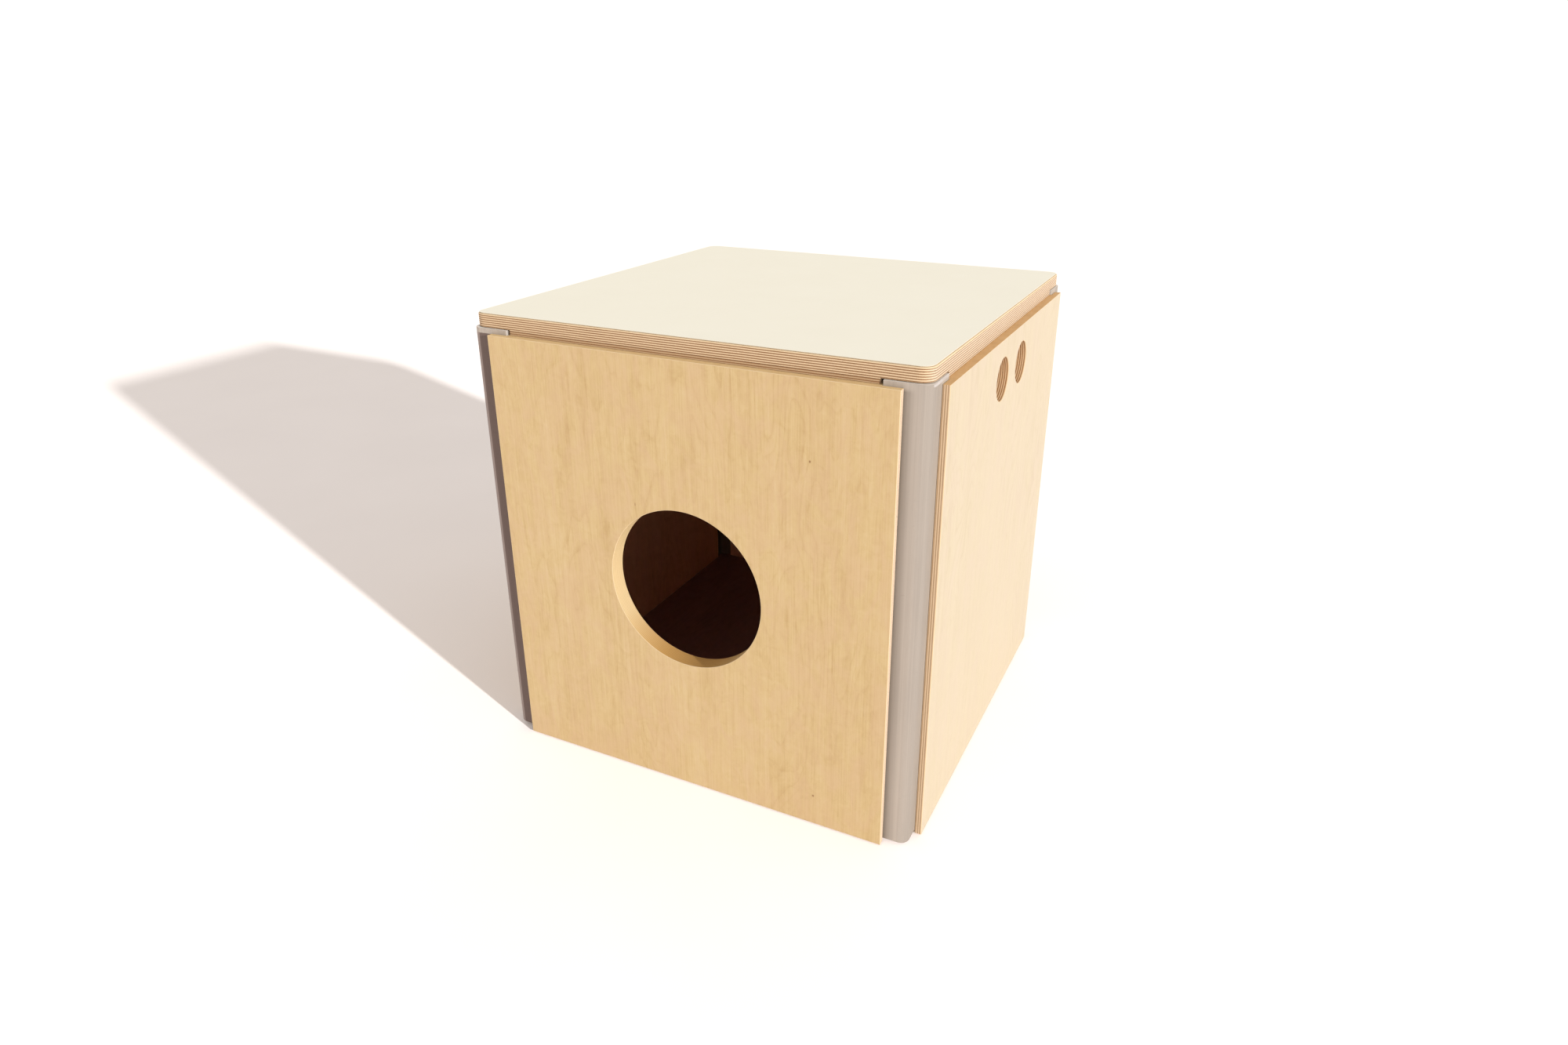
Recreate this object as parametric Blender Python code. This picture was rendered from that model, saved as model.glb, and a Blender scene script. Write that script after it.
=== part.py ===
"""A cube-shaped cajon: plywood panels slotted onto four aluminium corner posts, with a plywood seat.

Units are metres and +Z is up. The origin is on the floor under the middle of the box.
The sound hole faces -Y, the tapa faces +Y, and the two grip-hole panels face +X and -X.
Panels and posts are drawn in their place at the front, then turned about Z in quarter turns.
"""
from math import cos, pi, sin

import bmesh
import bpy
from mathutils import Vector

# Driving dimensions
OUTER_SIZE = 0.622          # across the outer faces of opposite panels
PANEL_WIDTH = 0.542
PANEL_HEIGHT = 0.588
BOARD = 0.0230              # real thickness of nominal 24 mm birch plywood
SEAT_SIZE = 0.600
SEAT_CORNER_RADIUS = 0.016
SEAT_EDGE_RADIUS = 0.0014
LAMINATE = 0.0008
FLOOR_GAP = 0.002           # the panels hang this far above the floor, on the feet
GAP = 0.0003                # between neighbouring solids
CUT_MARGIN = 0.002          # how far a cutting tool runs past the face it cuts

# Corner posts: an L extrusion whose flanges run into grooves in the panels' edges
POST_SETBACK = 0.009        # from a panel's outer face in to the post's outer face
POST_WALL = 0.007
POST_CORNER_RADIUS = 0.012
POST_FLANGE_END = 0.2480    # distance of the flange's end from the middle of the box
POST_SHORT_BELOW = 0.0045   # the post stops this far above the panel's lower edge
POST_PROUD_ABOVE = 0.006    # and stands this far above its upper edge
GROOVE_END = 0.2475
SEAT_NOTCH = 0.0562         # how far the notch over a post runs in from the seat board's edge
SEAT_NOTCH_HEIGHT = 0.0066

# Openings
SOUND_HOLE_RADIUS = 0.107
GRIP_HOLE_RADIUS = 0.0280
GRIP_HOLE_SPACING = 0.092
GRIP_HOLE_BELOW_TOP = 0.0515

# Floor of the box
BOTTOM_THICKNESS = 0.018
DADO_DEPTH = 0.006
FOOT_RADIUS = 0.015
FOOT_PLACE = 0.245
FOOT_TREAD_EDGE = 0.0015    # the tread is this much narrower than the foot
FOOT_TREAD_HEIGHT = 0.0012
FOOT_TAPER = 0.0010
RECESS_CLEARANCE = 0.0010   # round a screw head sunk in a foot
RECESS_BELOW_HEAD = 0.0012

# Rear frame and tapa
TAPA = 0.0032
STILE_WIDTH = 0.070
RAIL_TOP_HEIGHT = 0.060
RAIL_BOTTOM_HEIGHT = 0.070
TAPA_SCREW_INSET = 0.036    # clear of the post grooves and of the bottom board

# Top cleats
CLEAT = 0.020
LONG_CLEAT_HALF = 0.230
SHORT_CLEAT_START = 0.095
SHORT_CLEAT_END = 0.235
LONG_CLEAT_SCREW = 0.160
SHORT_CLEAT_SCREW = 0.165

# Snare set: a bar that turns about an axis along X, behind the tapa
PIVOT_Y = 0.272
PIVOT_Z = 0.400
SNARE_BAR_HALF = 0.1965
SNARE_BAR_DEPTH = 0.018
SNARE_BAR_HEIGHT = 0.026
WIRE_RADIUS = 0.0008
WIRES_PER_SET = 8
WIRE_SPACING = 0.0076
WIRE_SET_PLACE = 0.100
CLIP_WIDTH = 0.060
CLIP_THICKNESS = 0.0012
CLIP_OFFSET = 0.004         # the clip's plane, behind the bar's middle
CLIP_SUNK = 0.0090          # how deep the clip stands in the bar
CLIP_BELOW_BAR = 0.006
BAR_EASED = 0.002
LEVER_DOWEL_RADIUS = 0.0040
LEVER_HOLE_DEPTH = 0.0085
END_PLATE_LOW = 0.148       # below the bar
END_PLATE_HIGH = 0.140
BRACKET_PLATE = 0.002
BRACKET_FOOT = 0.026
BRACKET_EAR_FRONT = 0.010   # how far the ear reaches in front of the pivot
BRACKET_SCREW_INSET = 0.010

# Fasteners: (head radius, head height, shank radius, shank length)
FOOT_SCREW = (0.0045, 0.0022, 0.0019, 0.0145)
CLEAT_SCREW = (0.0042, 0.0022, 0.0019, 0.0320)
BRACKET_SCREW = (0.0032, 0.0018, 0.0016, 0.0160)
PIVOT_BOLT = (0.0055, 0.0040, 0.0025, 0.0215)
TAPA_SCREW_HEAD_RADIUS = 0.0036
TAPA_SCREW_HEAD_DEPTH = 0.0020
TAPA_SCREW_SHANK_RADIUS = 0.0016
TAPA_SCREW_LENGTH = 0.016
TAPA_SCREW_SUNK = 0.0001    # depth of the head's rim below the tapa's face
HOLE_CLEARANCE = 0.0004

# Heights and faces that follow from the sizes above
HALF = OUTER_SIZE / 2
PANEL_HALF = PANEL_WIDTH / 2
PANEL_LOW = FLOOR_GAP
PANEL_TOP = PANEL_LOW + PANEL_HEIGHT
INNER_FACE = HALF - BOARD
POST_FACE = HALF - POST_SETBACK
SEAT_LOW = PANEL_TOP + GAP
SEAT_TOP = SEAT_LOW + BOARD
BOTTOM_LOW = PANEL_LOW + POST_SHORT_BELOW
BOTTOM_TOP = BOTTOM_LOW + BOTTOM_THICKNESS
FRAME_OUTER = HALF - TAPA - GAP
WINDOW_HALF = PANEL_HALF - STILE_WIDTH
SOUND_HOLE_HEIGHT = PANEL_LOW + PANEL_HEIGHT / 2
GRIP_HOLE_HEIGHT = PANEL_TOP - GRIP_HOLE_BELOW_TOP

SMALL_ROUND = 12            # segments round a screw
LARGE_ROUND = 64            # segments round the sound hole
FRONT, RIGHT, REAR, LEFT = 0, 1, 2, 3   # quarter turns about Z


def clear_scene():
    for item in list(bpy.data.objects):
        bpy.data.objects.remove(item)


def principled(name, colour, roughness, metallic=0.0):
    material = bpy.data.materials.new(name)
    material.use_nodes = True
    shader = material.node_tree.nodes["Principled BSDF"]
    shader.inputs["Base Color"].default_value = (*colour, 1.0)
    shader.inputs["Roughness"].default_value = roughness
    shader.inputs["Metallic"].default_value = metallic
    material.diffuse_color = (*colour, 1.0)
    return material


def add_object(name, mesh_maker, material, quarter=FRONT):
    """Make one object from a bmesh and turn it about Z by whole quarters."""
    mesh = bpy.data.meshes.new(name)
    mesh_maker.to_mesh(mesh)
    mesh_maker.free()
    if material:
        mesh.materials.append(material)
    item = bpy.data.objects.new(name, mesh)
    item.rotation_euler.z = quarter * pi / 2
    bpy.context.scene.collection.objects.link(item)
    return item


def stacked(maker, rings):
    """Skin a stack of equal-length rings, lowest first and each counter-clockwise, and cap both ends."""
    made = [[maker.verts.new(point) for point in ring] for ring in rings]
    maker.faces.new(list(reversed(made[0])))
    maker.faces.new(made[-1])
    for lower, upper in zip(made, made[1:]):
        count = len(lower)
        for i in range(count):
            j = (i + 1) % count
            maker.faces.new((lower[i], lower[j], upper[j], upper[i]))


def prism(name, outline, low, high, material, quarter=FRONT):
    """Extrude a plan outline, counter-clockwise, from height low to height high."""
    maker = bmesh.new()
    stacked(maker, [[(x, y, z) for x, y in outline] for z in (low, high)])
    return add_object(name, maker, material, quarter)


def box_outline(low, high):
    return [(low[0], low[1]), (high[0], low[1]), (high[0], high[1]), (low[0], high[1])]


def block(name, low, high, material, quarter=FRONT):
    return prism(name, box_outline(low, high), low[2], high[2], material, quarter)


def arc(centre, radius, start, end, steps):
    """Points along an arc in plan, with its angles in degrees."""
    points = []
    for i in range(steps + 1):
        angle = (start + (end - start) * i / steps) * pi / 180
        points.append((centre[0] + radius * cos(angle), centre[1] + radius * sin(angle)))
    return points


def rounded_square(half, radius, steps=6):
    inner = half - radius
    outline = []
    for i, (x, y) in enumerate(((inner, -inner), (inner, inner), (-inner, inner), (-inner, -inner))):
        outline += arc((x, y), radius, 90 * i - 90, 90 * i, steps)
    return outline


def turned_rings(profile, segments):
    """Rings of a turned shape along +Z, from a profile of (radius, height) pairs, lowest first."""
    rings = []
    for radius, height in profile:
        turn = [2 * pi * (i + 0.5) / segments for i in range(segments)]
        rings.append([(radius * cos(a), radius * sin(a), height) for a in turn])
    return rings


def turned(name, profile, material, segments=SMALL_ROUND):
    maker = bmesh.new()
    stacked(maker, turned_rings(profile, segments))
    item = add_object(name, maker, material)
    item.data.shade_smooth()
    item.data.set_sharp_from_angle(angle=pi / 5)
    return item


def point_along(item, direction):
    """Turn an object made along +Z so that it points along an axis direction."""
    item.rotation_mode = "QUATERNION"
    item.rotation_quaternion = Vector(direction).to_track_quat("Z", "Y")


def subtract(target, tool):
    """Cut tool out of target and keep tool as a hidden guide."""
    combine(target, tool, "DIFFERENCE")


def combine(target, tool, operation):
    modifier = target.modifiers.new(tool.name, "BOOLEAN")
    modifier.operation = operation
    modifier.solver = "EXACT"
    modifier.object = tool
    tool.hide_render = True
    tool.display_type = "WIRE"


def drill(target, place, direction, profile, segments=SMALL_ROUND):
    """Cut a turned hole: place is where the profile's height 0 lies, in world coordinates."""
    tool = turned(target.name + "_hole_tool", profile, None, segments)
    tool.location = place
    point_along(tool, direction)
    subtract(target, tool)


def straight_hole(radius, length, before=0.001):
    return [(radius, -before), (radius, length)]


def pan_screw(name, size, place, direction, material):
    """A screw whose head's underside is at place and whose shank points along direction."""
    head_radius, head_height, shank_radius, shank_length = size
    profile = [
        (head_radius * 0.55, -head_height),
        (head_radius * 0.88, -head_height * 0.75),
        (head_radius, -head_height * 0.30),
        (head_radius, 0.0),
        (shank_radius, 0.0),
        (shank_radius, shank_length - 2 * shank_radius),
        (shank_radius * 0.25, shank_length),
    ]
    screw = turned(name, profile, material)
    screw.location = place
    point_along(screw, direction)
    return screw


def turned_place(quarter, x, y, z):
    """Where a point drawn at the front lies after whole quarter turns about Z."""
    for _ in range(quarter):
        x, y = -y, x
    return (x, y, z)


def make_materials():
    return {
        "birch": principled("birch_face", (0.760, 0.540, 0.285), 0.45),
        "birch_side": principled("birch_pale", (0.800, 0.620, 0.370), 0.45),
        "laminate": principled("pale_laminate", (0.905, 0.845, 0.700), 0.35),
        "aluminium": principled("anodised_aluminium", (0.560, 0.500, 0.450), 0.38, 1.0),
        "pine": principled("pine_batten", (0.690, 0.480, 0.250), 0.60),
        "tapa": principled("tapa_veneer", (0.650, 0.400, 0.190), 0.40),
        "rubber": principled("black_rubber", (0.020, 0.020, 0.020), 0.80),
        "steel": principled("zinc_steel", (0.620, 0.610, 0.590), 0.30, 1.0),
        "wire": principled("spring_steel", (0.700, 0.700, 0.690), 0.25, 1.0),
        "beech": principled("beech", (0.560, 0.340, 0.180), 0.50),
    }


# Posts and panels

def make_posts(materials):
    """Four equal L extrusions; each is drawn at the front right and turned into its corner."""
    inner = POST_FACE - POST_WALL
    bend = POST_FACE - POST_CORNER_RADIUS
    bend_centre = (bend, -bend)
    outline = [(POST_FLANGE_END, -POST_FACE)]
    outline += arc(bend_centre, POST_CORNER_RADIUS, -90, 0, 8)
    outline += [(POST_FACE, -POST_FLANGE_END), (inner, -POST_FLANGE_END)]
    outline += arc(bend_centre, POST_CORNER_RADIUS - POST_WALL, 0, -90, 6)
    outline += [(POST_FLANGE_END, -inner)]
    low = PANEL_LOW + POST_SHORT_BELOW
    high = PANEL_TOP + POST_PROUD_ABOVE
    corners = ("front_right", "rear_right", "rear_left", "front_left")
    for quarter, corner in enumerate(corners):
        prism("corner_post_" + corner, outline, low, high, materials["aluminium"], quarter)


def panel_outline():
    """Plan of a panel at the front: a board with a groove for a post's flange in each side edge."""
    outer = -HALF
    groove_outer = -POST_FACE - GAP
    groove_inner = -POST_FACE + POST_WALL + GAP
    right_edge = [
        (PANEL_HALF, outer),
        (PANEL_HALF, groove_outer),
        (GROOVE_END, groove_outer),
        (GROOVE_END, groove_inner),
        (PANEL_HALF, groove_inner),
        (PANEL_HALF, -INNER_FACE),
    ]
    left_edge = [(-x, y) for x, y in reversed(right_edge)]
    return right_edge + left_edge


def cut_dado(board, quarter):
    """The groove along the inner face that holds the edge of the bottom board."""
    tool = block(
        board.name + "_dado_tool",
        (-HALF, -INNER_FACE - DADO_DEPTH, BOTTOM_LOW - GAP),
        (HALF, -INNER_FACE + CUT_MARGIN, BOTTOM_TOP + GAP),
        None,
        quarter,
    )
    subtract(board, tool)


def make_panel(name, quarter, material):
    panel = prism(name, panel_outline(), PANEL_LOW, PANEL_TOP, material, quarter)
    cut_dado(panel, quarter)
    return panel


def bore_panel(panel, quarter, x, z, radius, segments):
    """A round hole right through a panel."""
    place = turned_place(quarter, x, -HALF - CUT_MARGIN, z)
    inward = turned_place(quarter, 0.0, 1.0, 0.0)
    drill(panel, place, inward, straight_hole(radius, BOARD + 2 * CUT_MARGIN), segments)


def make_panels(materials):
    front = make_panel("front_panel", FRONT, materials["birch"])
    bore_panel(front, FRONT, 0.0, SOUND_HOLE_HEIGHT, SOUND_HOLE_RADIUS, LARGE_ROUND)
    for name, quarter in (("right_panel", RIGHT), ("left_panel", LEFT)):
        side = make_panel(name, quarter, materials["birch_side"])
        for offset in (-GRIP_HOLE_SPACING / 2, GRIP_HOLE_SPACING / 2):
            bore_panel(side, quarter, offset, GRIP_HOLE_HEIGHT, GRIP_HOLE_RADIUS, LARGE_ROUND // 2)


# Seat, its cleats and the bottom board

def cleat_plan():
    """Each cleat's name, its panel's quarter, its two ends and its screws, along the panel."""
    return [
        ("cleat_front", FRONT, (-LONG_CLEAT_HALF, LONG_CLEAT_HALF), (-LONG_CLEAT_SCREW, LONG_CLEAT_SCREW)),
        ("cleat_rear", REAR, (-LONG_CLEAT_HALF, LONG_CLEAT_HALF), (-LONG_CLEAT_SCREW, LONG_CLEAT_SCREW)),
        ("cleat_right_front", RIGHT, (-SHORT_CLEAT_END, -SHORT_CLEAT_START), (-SHORT_CLEAT_SCREW,)),
        ("cleat_right_rear", RIGHT, (SHORT_CLEAT_START, SHORT_CLEAT_END), (SHORT_CLEAT_SCREW,)),
        ("cleat_left_front", LEFT, (SHORT_CLEAT_START, SHORT_CLEAT_END), (SHORT_CLEAT_SCREW,)),
        ("cleat_left_rear", LEFT, (-SHORT_CLEAT_END, -SHORT_CLEAT_START), (-SHORT_CLEAT_SCREW,)),
    ]


def make_seat(materials):
    """The seat board: rounded corners, eased top edge, and its underside notched over each post."""
    half = SEAT_SIZE / 2
    edge_steps = 3
    levels = [(0.0, SEAT_LOW)]
    for i in range(edge_steps + 1):
        angle = i / edge_steps * pi / 2
        inset = SEAT_EDGE_RADIUS * (1 - cos(angle))
        levels.append((inset, SEAT_TOP - SEAT_EDGE_RADIUS * (1 - sin(angle))))
    maker = bmesh.new()
    rings = []
    for inset, height in levels:
        outline = rounded_square(half - inset, SEAT_CORNER_RADIUS - inset)
        rings.append([(x, y, height) for x, y in outline])
    stacked(maker, rings)
    seat = add_object("top_board", maker, materials["birch"])
    for quarter in (FRONT, RIGHT, REAR, LEFT):
        notch = block(
            "seat_notch_tool",
            (half - SEAT_NOTCH, -half - CUT_MARGIN, SEAT_LOW - CUT_MARGIN),
            (half + CUT_MARGIN, -half + SEAT_NOTCH, SEAT_LOW + SEAT_NOTCH_HEIGHT),
            None,
            quarter,
        )
        subtract(seat, notch)

    laminate_outline = rounded_square(half - SEAT_EDGE_RADIUS, SEAT_CORNER_RADIUS - SEAT_EDGE_RADIUS)
    laminate_low = SEAT_TOP + GAP
    prism("seat_laminate", laminate_outline, laminate_low, laminate_low + LAMINATE, materials["laminate"])
    return seat


def make_cleats(seat, materials):
    """Battens along the panels' inner faces under the seat, each screwed up into it."""
    cleat_top = SEAT_LOW - GAP
    cleat_low = cleat_top - CLEAT
    against_panel = -INNER_FACE + GAP
    screw_line = against_panel + CLEAT / 2
    hole_radius = CLEAT_SCREW[2] + HOLE_CLEARANCE
    number = 0
    for name, quarter, (start, end), screws in cleat_plan():
        low = (start, against_panel, cleat_low)
        high = (end, against_panel + CLEAT, cleat_top)
        cleat = block(name, low, high, materials["pine"], quarter)
        for x in screws:
            number += 1
            under_head = turned_place(quarter, x, screw_line, cleat_low - GAP)
            drill(cleat, under_head, (0, 0, 1), straight_hole(hole_radius, CLEAT + CUT_MARGIN))
            in_seat = turned_place(quarter, x, screw_line, SEAT_LOW)
            drill(seat, in_seat, (0, 0, 1), straight_hole(hole_radius, CLEAT_SCREW[3] - CLEAT))
            pan_screw(f"cleat_screw_{number}", CLEAT_SCREW, under_head, (0, 0, 1), materials["steel"])


def make_bottom(materials):
    """The bottom board sits in the panels' dados; each rubber foot is screwed up into it."""
    half = INNER_FACE + DADO_DEPTH - GAP
    outline = rounded_square(half, POST_CORNER_RADIUS)
    bottom = prism("bottom_board", outline, BOTTOM_LOW, BOTTOM_TOP, materials["birch"])
    foot_top = BOTTOM_LOW - GAP
    bore = FOOT_SCREW[2] + HOLE_CLEARANCE
    recess = FOOT_SCREW[0] + RECESS_CLEARANCE
    seat_height = FOOT_SCREW[1] + RECESS_BELOW_HEAD
    corners = ("front_right", "rear_right", "rear_left", "front_left")
    for quarter, corner in enumerate(corners):
        x, y, _ = turned_place(quarter, FOOT_PLACE, -FOOT_PLACE, 0.0)
        profile = [
            (FOOT_RADIUS - FOOT_TREAD_EDGE, 0.0),
            (FOOT_RADIUS, FOOT_TREAD_HEIGHT),
            (FOOT_RADIUS - FOOT_TAPER, foot_top),
        ]
        foot = turned("foot_" + corner, profile, materials["rubber"], 2 * SMALL_ROUND)
        foot.location = (x, y, 0.0)
        drill(foot, (x, y, 0.0), (0, 0, 1), straight_hole(recess, seat_height))
        drill(foot, (x, y, 0.0), (0, 0, 1), straight_hole(bore, foot_top + CUT_MARGIN))
        drill(bottom, (x, y, BOTTOM_LOW), (0, 0, 1), straight_hole(bore, FOOT_SCREW[3]))
        under_head = (x, y, seat_height - GAP)
        pan_screw("foot_screw_" + corner, FOOT_SCREW, under_head, (0, 0, 1), materials["steel"])


# Rear frame and tapa, drawn at the front and turned half round

def make_rear_frame(materials):
    """Two stiles and two rails; the stiles' side edges take the rear posts' flanges."""
    frame_outer = -FRAME_OUTER
    groove_outer = -POST_FACE - GAP
    groove_inner = -POST_FACE + POST_WALL + GAP
    stile = [
        (WINDOW_HALF, frame_outer),
        (PANEL_HALF, frame_outer),
        (PANEL_HALF, groove_outer),
        (GROOVE_END, groove_outer),
        (GROOVE_END, groove_inner),
        (PANEL_HALF, groove_inner),
        (PANEL_HALF, -INNER_FACE),
        (WINDOW_HALF, -INNER_FACE),
    ]
    mirrored = [(-x, y) for x, y in reversed(stile)]
    birch = materials["birch"]
    pieces = {}
    for name, outline in (("rear_stile_left", stile), ("rear_stile_right", mirrored)):
        pieces[name] = prism(name, outline, PANEL_LOW, PANEL_TOP, birch, REAR)
    rail_half = WINDOW_HALF - GAP
    for name, low, high in (
        ("rear_rail_top", PANEL_TOP - RAIL_TOP_HEIGHT, PANEL_TOP),
        ("rear_rail_bottom", PANEL_LOW, PANEL_LOW + RAIL_BOTTOM_HEIGHT),
    ):
        low_corner = (-rail_half, frame_outer, low)
        high_corner = (rail_half, -INNER_FACE, high)
        pieces[name] = block(name, low_corner, high_corner, birch, REAR)
    for name in ("rear_stile_left", "rear_stile_right", "rear_rail_bottom"):
        cut_dado(pieces[name], REAR)
    return pieces


def tapa_screw_places():
    """Where the tapa's screws go, as (x, z, frame piece); x is as drawn at the front."""
    side = PANEL_HALF - TAPA_SCREW_INSET
    low = PANEL_LOW + TAPA_SCREW_INSET
    high = PANEL_TOP - TAPA_SCREW_INSET
    places = []
    for x, stile in ((side, "rear_stile_left"), (-side, "rear_stile_right")):
        for i in range(4):
            places.append((x, low + (high - low) * i / 3, stile))
    for z, rail in ((high, "rear_rail_top"), (low, "rear_rail_bottom")):
        for x in (-side / 3, side / 3):
            places.append((x, z, rail))
    return places


def make_tapa(frame, materials):
    """The thin playing plate and its countersunk screws, flush with its outer face."""
    low = (-PANEL_HALF, -HALF, PANEL_LOW)
    high = (PANEL_HALF, -HALF + TAPA, PANEL_TOP)
    tapa = block("tapa", low, high, materials["tapa"], REAR)
    inward = turned_place(REAR, 0.0, 1.0, 0.0)
    head = TAPA_SCREW_HEAD_RADIUS
    shank = TAPA_SCREW_SHANK_RADIUS
    depth = TAPA_SCREW_HEAD_DEPTH
    screw_profile = [
        (head, TAPA_SCREW_SUNK),
        (shank, depth),
        (shank, TAPA_SCREW_LENGTH - 2 * shank),
        (shank * 0.25, TAPA_SCREW_LENGTH),
    ]
    clear = HOLE_CLEARANCE
    countersink = [
        (head + clear, -CUT_MARGIN),
        (head + clear, TAPA_SCREW_SUNK),
        (shank + clear, depth),
        (shank + clear, TAPA + CUT_MARGIN),
    ]
    pilot = straight_hole(shank + clear, TAPA_SCREW_LENGTH - TAPA)
    for number, (x, z, piece) in enumerate(tapa_screw_places(), start=1):
        on_face = turned_place(REAR, x, -HALF, z)
        drill(tapa, on_face, inward, countersink)
        drill(frame[piece], turned_place(REAR, x, -FRAME_OUTER, z), inward, pilot)
        screw = turned(f"tapa_screw_{number}", screw_profile, materials["steel"])
        screw.location = on_face
        point_along(screw, inward)


# Snare set

def make_snare_bar(materials):
    """The bar: a kerf in its underside for each wire clip, a bolt hole in each end, a lever hole."""
    depth = SNARE_BAR_DEPTH / 2
    height = SNARE_BAR_HEIGHT / 2
    low = (-SNARE_BAR_HALF, -depth, -height)
    high = (SNARE_BAR_HALF, depth, height)
    bar = block("snare_bar", low, high, materials["beech"])
    easing = bar.modifiers.new("eased_edges", "BEVEL")
    easing.width = BAR_EASED
    easing.segments = 2
    kerf = CLIP_THICKNESS / 2 + GAP
    for side in (-1, 1):
        middle = side * WIRE_SET_PLACE
        reach = CLIP_WIDTH / 2 + GAP
        tool = block(
            "clip_kerf_tool",
            (middle - reach, CLIP_OFFSET - kerf, -height - CUT_MARGIN),
            (middle + reach, CLIP_OFFSET + kerf, -height + CLIP_SUNK + GAP),
            None,
        )
        subtract(bar, tool)
        hole = straight_hole(PIVOT_BOLT[2] + HOLE_CLEARANCE, PIVOT_BOLT[3])
        drill(bar, (side * SNARE_BAR_HALF, 0.0, 0.0), (-side, 0, 0), hole)
    dowel_hole = straight_hole(LEVER_DOWEL_RADIUS + HOLE_CLEARANCE, LEVER_HOLE_DEPTH)
    drill(bar, (0.0, -depth, 0.0), (0, 1, 0), dowel_hole)
    return bar


def make_wire_set(name, middle, materials):
    """A clip, a fan of parallel wires lying along the tapa, and the plate across their lower ends."""
    bar_low = -SNARE_BAR_HEIGHT / 2
    on_tapa = HALF - TAPA - GAP - WIRE_RADIUS - PIVOT_Y
    half_clip = CLIP_WIDTH / 2
    half_plate = CLIP_THICKNESS / 2
    clip = block(
        name,
        (middle - half_clip, CLIP_OFFSET - half_plate, bar_low - CLIP_BELOW_BAR),
        (middle + half_clip, CLIP_OFFSET + half_plate, bar_low + CLIP_SUNK),
        materials["wire"],
    )
    path = [
        (CLIP_OFFSET, bar_low - 0.002),
        (CLIP_OFFSET, bar_low - 0.008),
        (CLIP_OFFSET + 0.003, bar_low - 0.014),
        (on_tapa - 0.003, bar_low - 0.040),
        (on_tapa, bar_low - 0.047),
        (on_tapa, bar_low - 0.152),
    ]
    maker = bmesh.new()
    for i in range(WIRES_PER_SET):
        x = middle + WIRE_SPACING * (i - (WIRES_PER_SET - 1) / 2)
        rings = []
        for y, z in reversed(path):
            ring = arc((x, y), WIRE_RADIUS, 0, 300, 5)
            rings.append([(px, py, z) for px, py in ring])
        stacked(maker, rings)
    combine(clip, add_object(name + "_wires_tool", maker, None), "UNION")
    plate = block(
        name + "_plate_tool",
        (middle - half_clip, on_tapa - half_plate, bar_low - END_PLATE_LOW),
        (middle + half_clip, on_tapa + half_plate, bar_low - END_PLATE_HIGH),
        None,
    )
    combine(clip, plate, "UNION")
    return clip


def make_lever(materials):
    """A turned finger knob whose dowel sits in the bar; it points at the sound hole."""
    profile = [
        (LEVER_DOWEL_RADIUS, 0.0010),
        (LEVER_DOWEL_RADIUS, 0.0093),
        (0.0065, 0.0093),
        (0.0055, 0.0140),
        (0.0055, 0.0260),
        (0.0090, 0.0330),
        (0.0110, 0.0400),
        (0.0105, 0.0470),
        (0.0075, 0.0520),
        (0.0030, 0.0540),
    ]
    lever = turned("snare_lever", profile, materials["beech"], 2 * SMALL_ROUND)
    point_along(lever, (0, -1, 0))
    return lever


def make_brackets(frame, materials):
    """A folded plate on each stile; its ear carries the pivot bolt."""
    ear_inner = SNARE_BAR_HALF + GAP
    ear_outer = ear_inner + BRACKET_PLATE
    foot_end = ear_inner + BRACKET_FOOT
    back = INNER_FACE - GAP
    front = PIVOT_Y - BRACKET_EAR_FRONT
    outline = [
        (ear_inner, front),
        (ear_outer, front),
        (ear_outer, back - BRACKET_PLATE),
        (foot_end, back - BRACKET_PLATE),
        (foot_end, back),
        (ear_inner, back),
    ]
    half_height = SNARE_BAR_HEIGHT / 2
    screw_x = foot_end - BRACKET_SCREW_INSET
    for side, word in ((-1, "left"), (1, "right")):
        plan = outline if side > 0 else [(-x, y) for x, y in reversed(outline)]
        bracket = prism(
            "snare_bracket_" + word, plan, PIVOT_Z - half_height, PIVOT_Z + half_height, materials["steel"]
        )
        bolt_place = (side * (ear_outer + GAP), PIVOT_Y, PIVOT_Z)
        bolt_hole = straight_hole(PIVOT_BOLT[2] + HOLE_CLEARANCE, BRACKET_PLATE + CUT_MARGIN)
        drill(bracket, bolt_place, (-side, 0, 0), bolt_hole)
        screw_place = (side * screw_x, back - BRACKET_PLATE - GAP, PIVOT_Z)
        clear_radius = BRACKET_SCREW[2] + HOLE_CLEARANCE
        drill(bracket, screw_place, (0, 1, 0), straight_hole(clear_radius, BRACKET_PLATE + CUT_MARGIN))
        stile = frame["rear_stile_" + word]
        pilot = straight_hole(clear_radius, BRACKET_SCREW[3] - BRACKET_PLATE + GAP)
        drill(stile, (side * screw_x, INNER_FACE, PIVOT_Z), (0, 1, 0), pilot)
        pan_screw("snare_bracket_screw_" + word, BRACKET_SCREW, screw_place, (0, 1, 0), materials["steel"])


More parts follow.
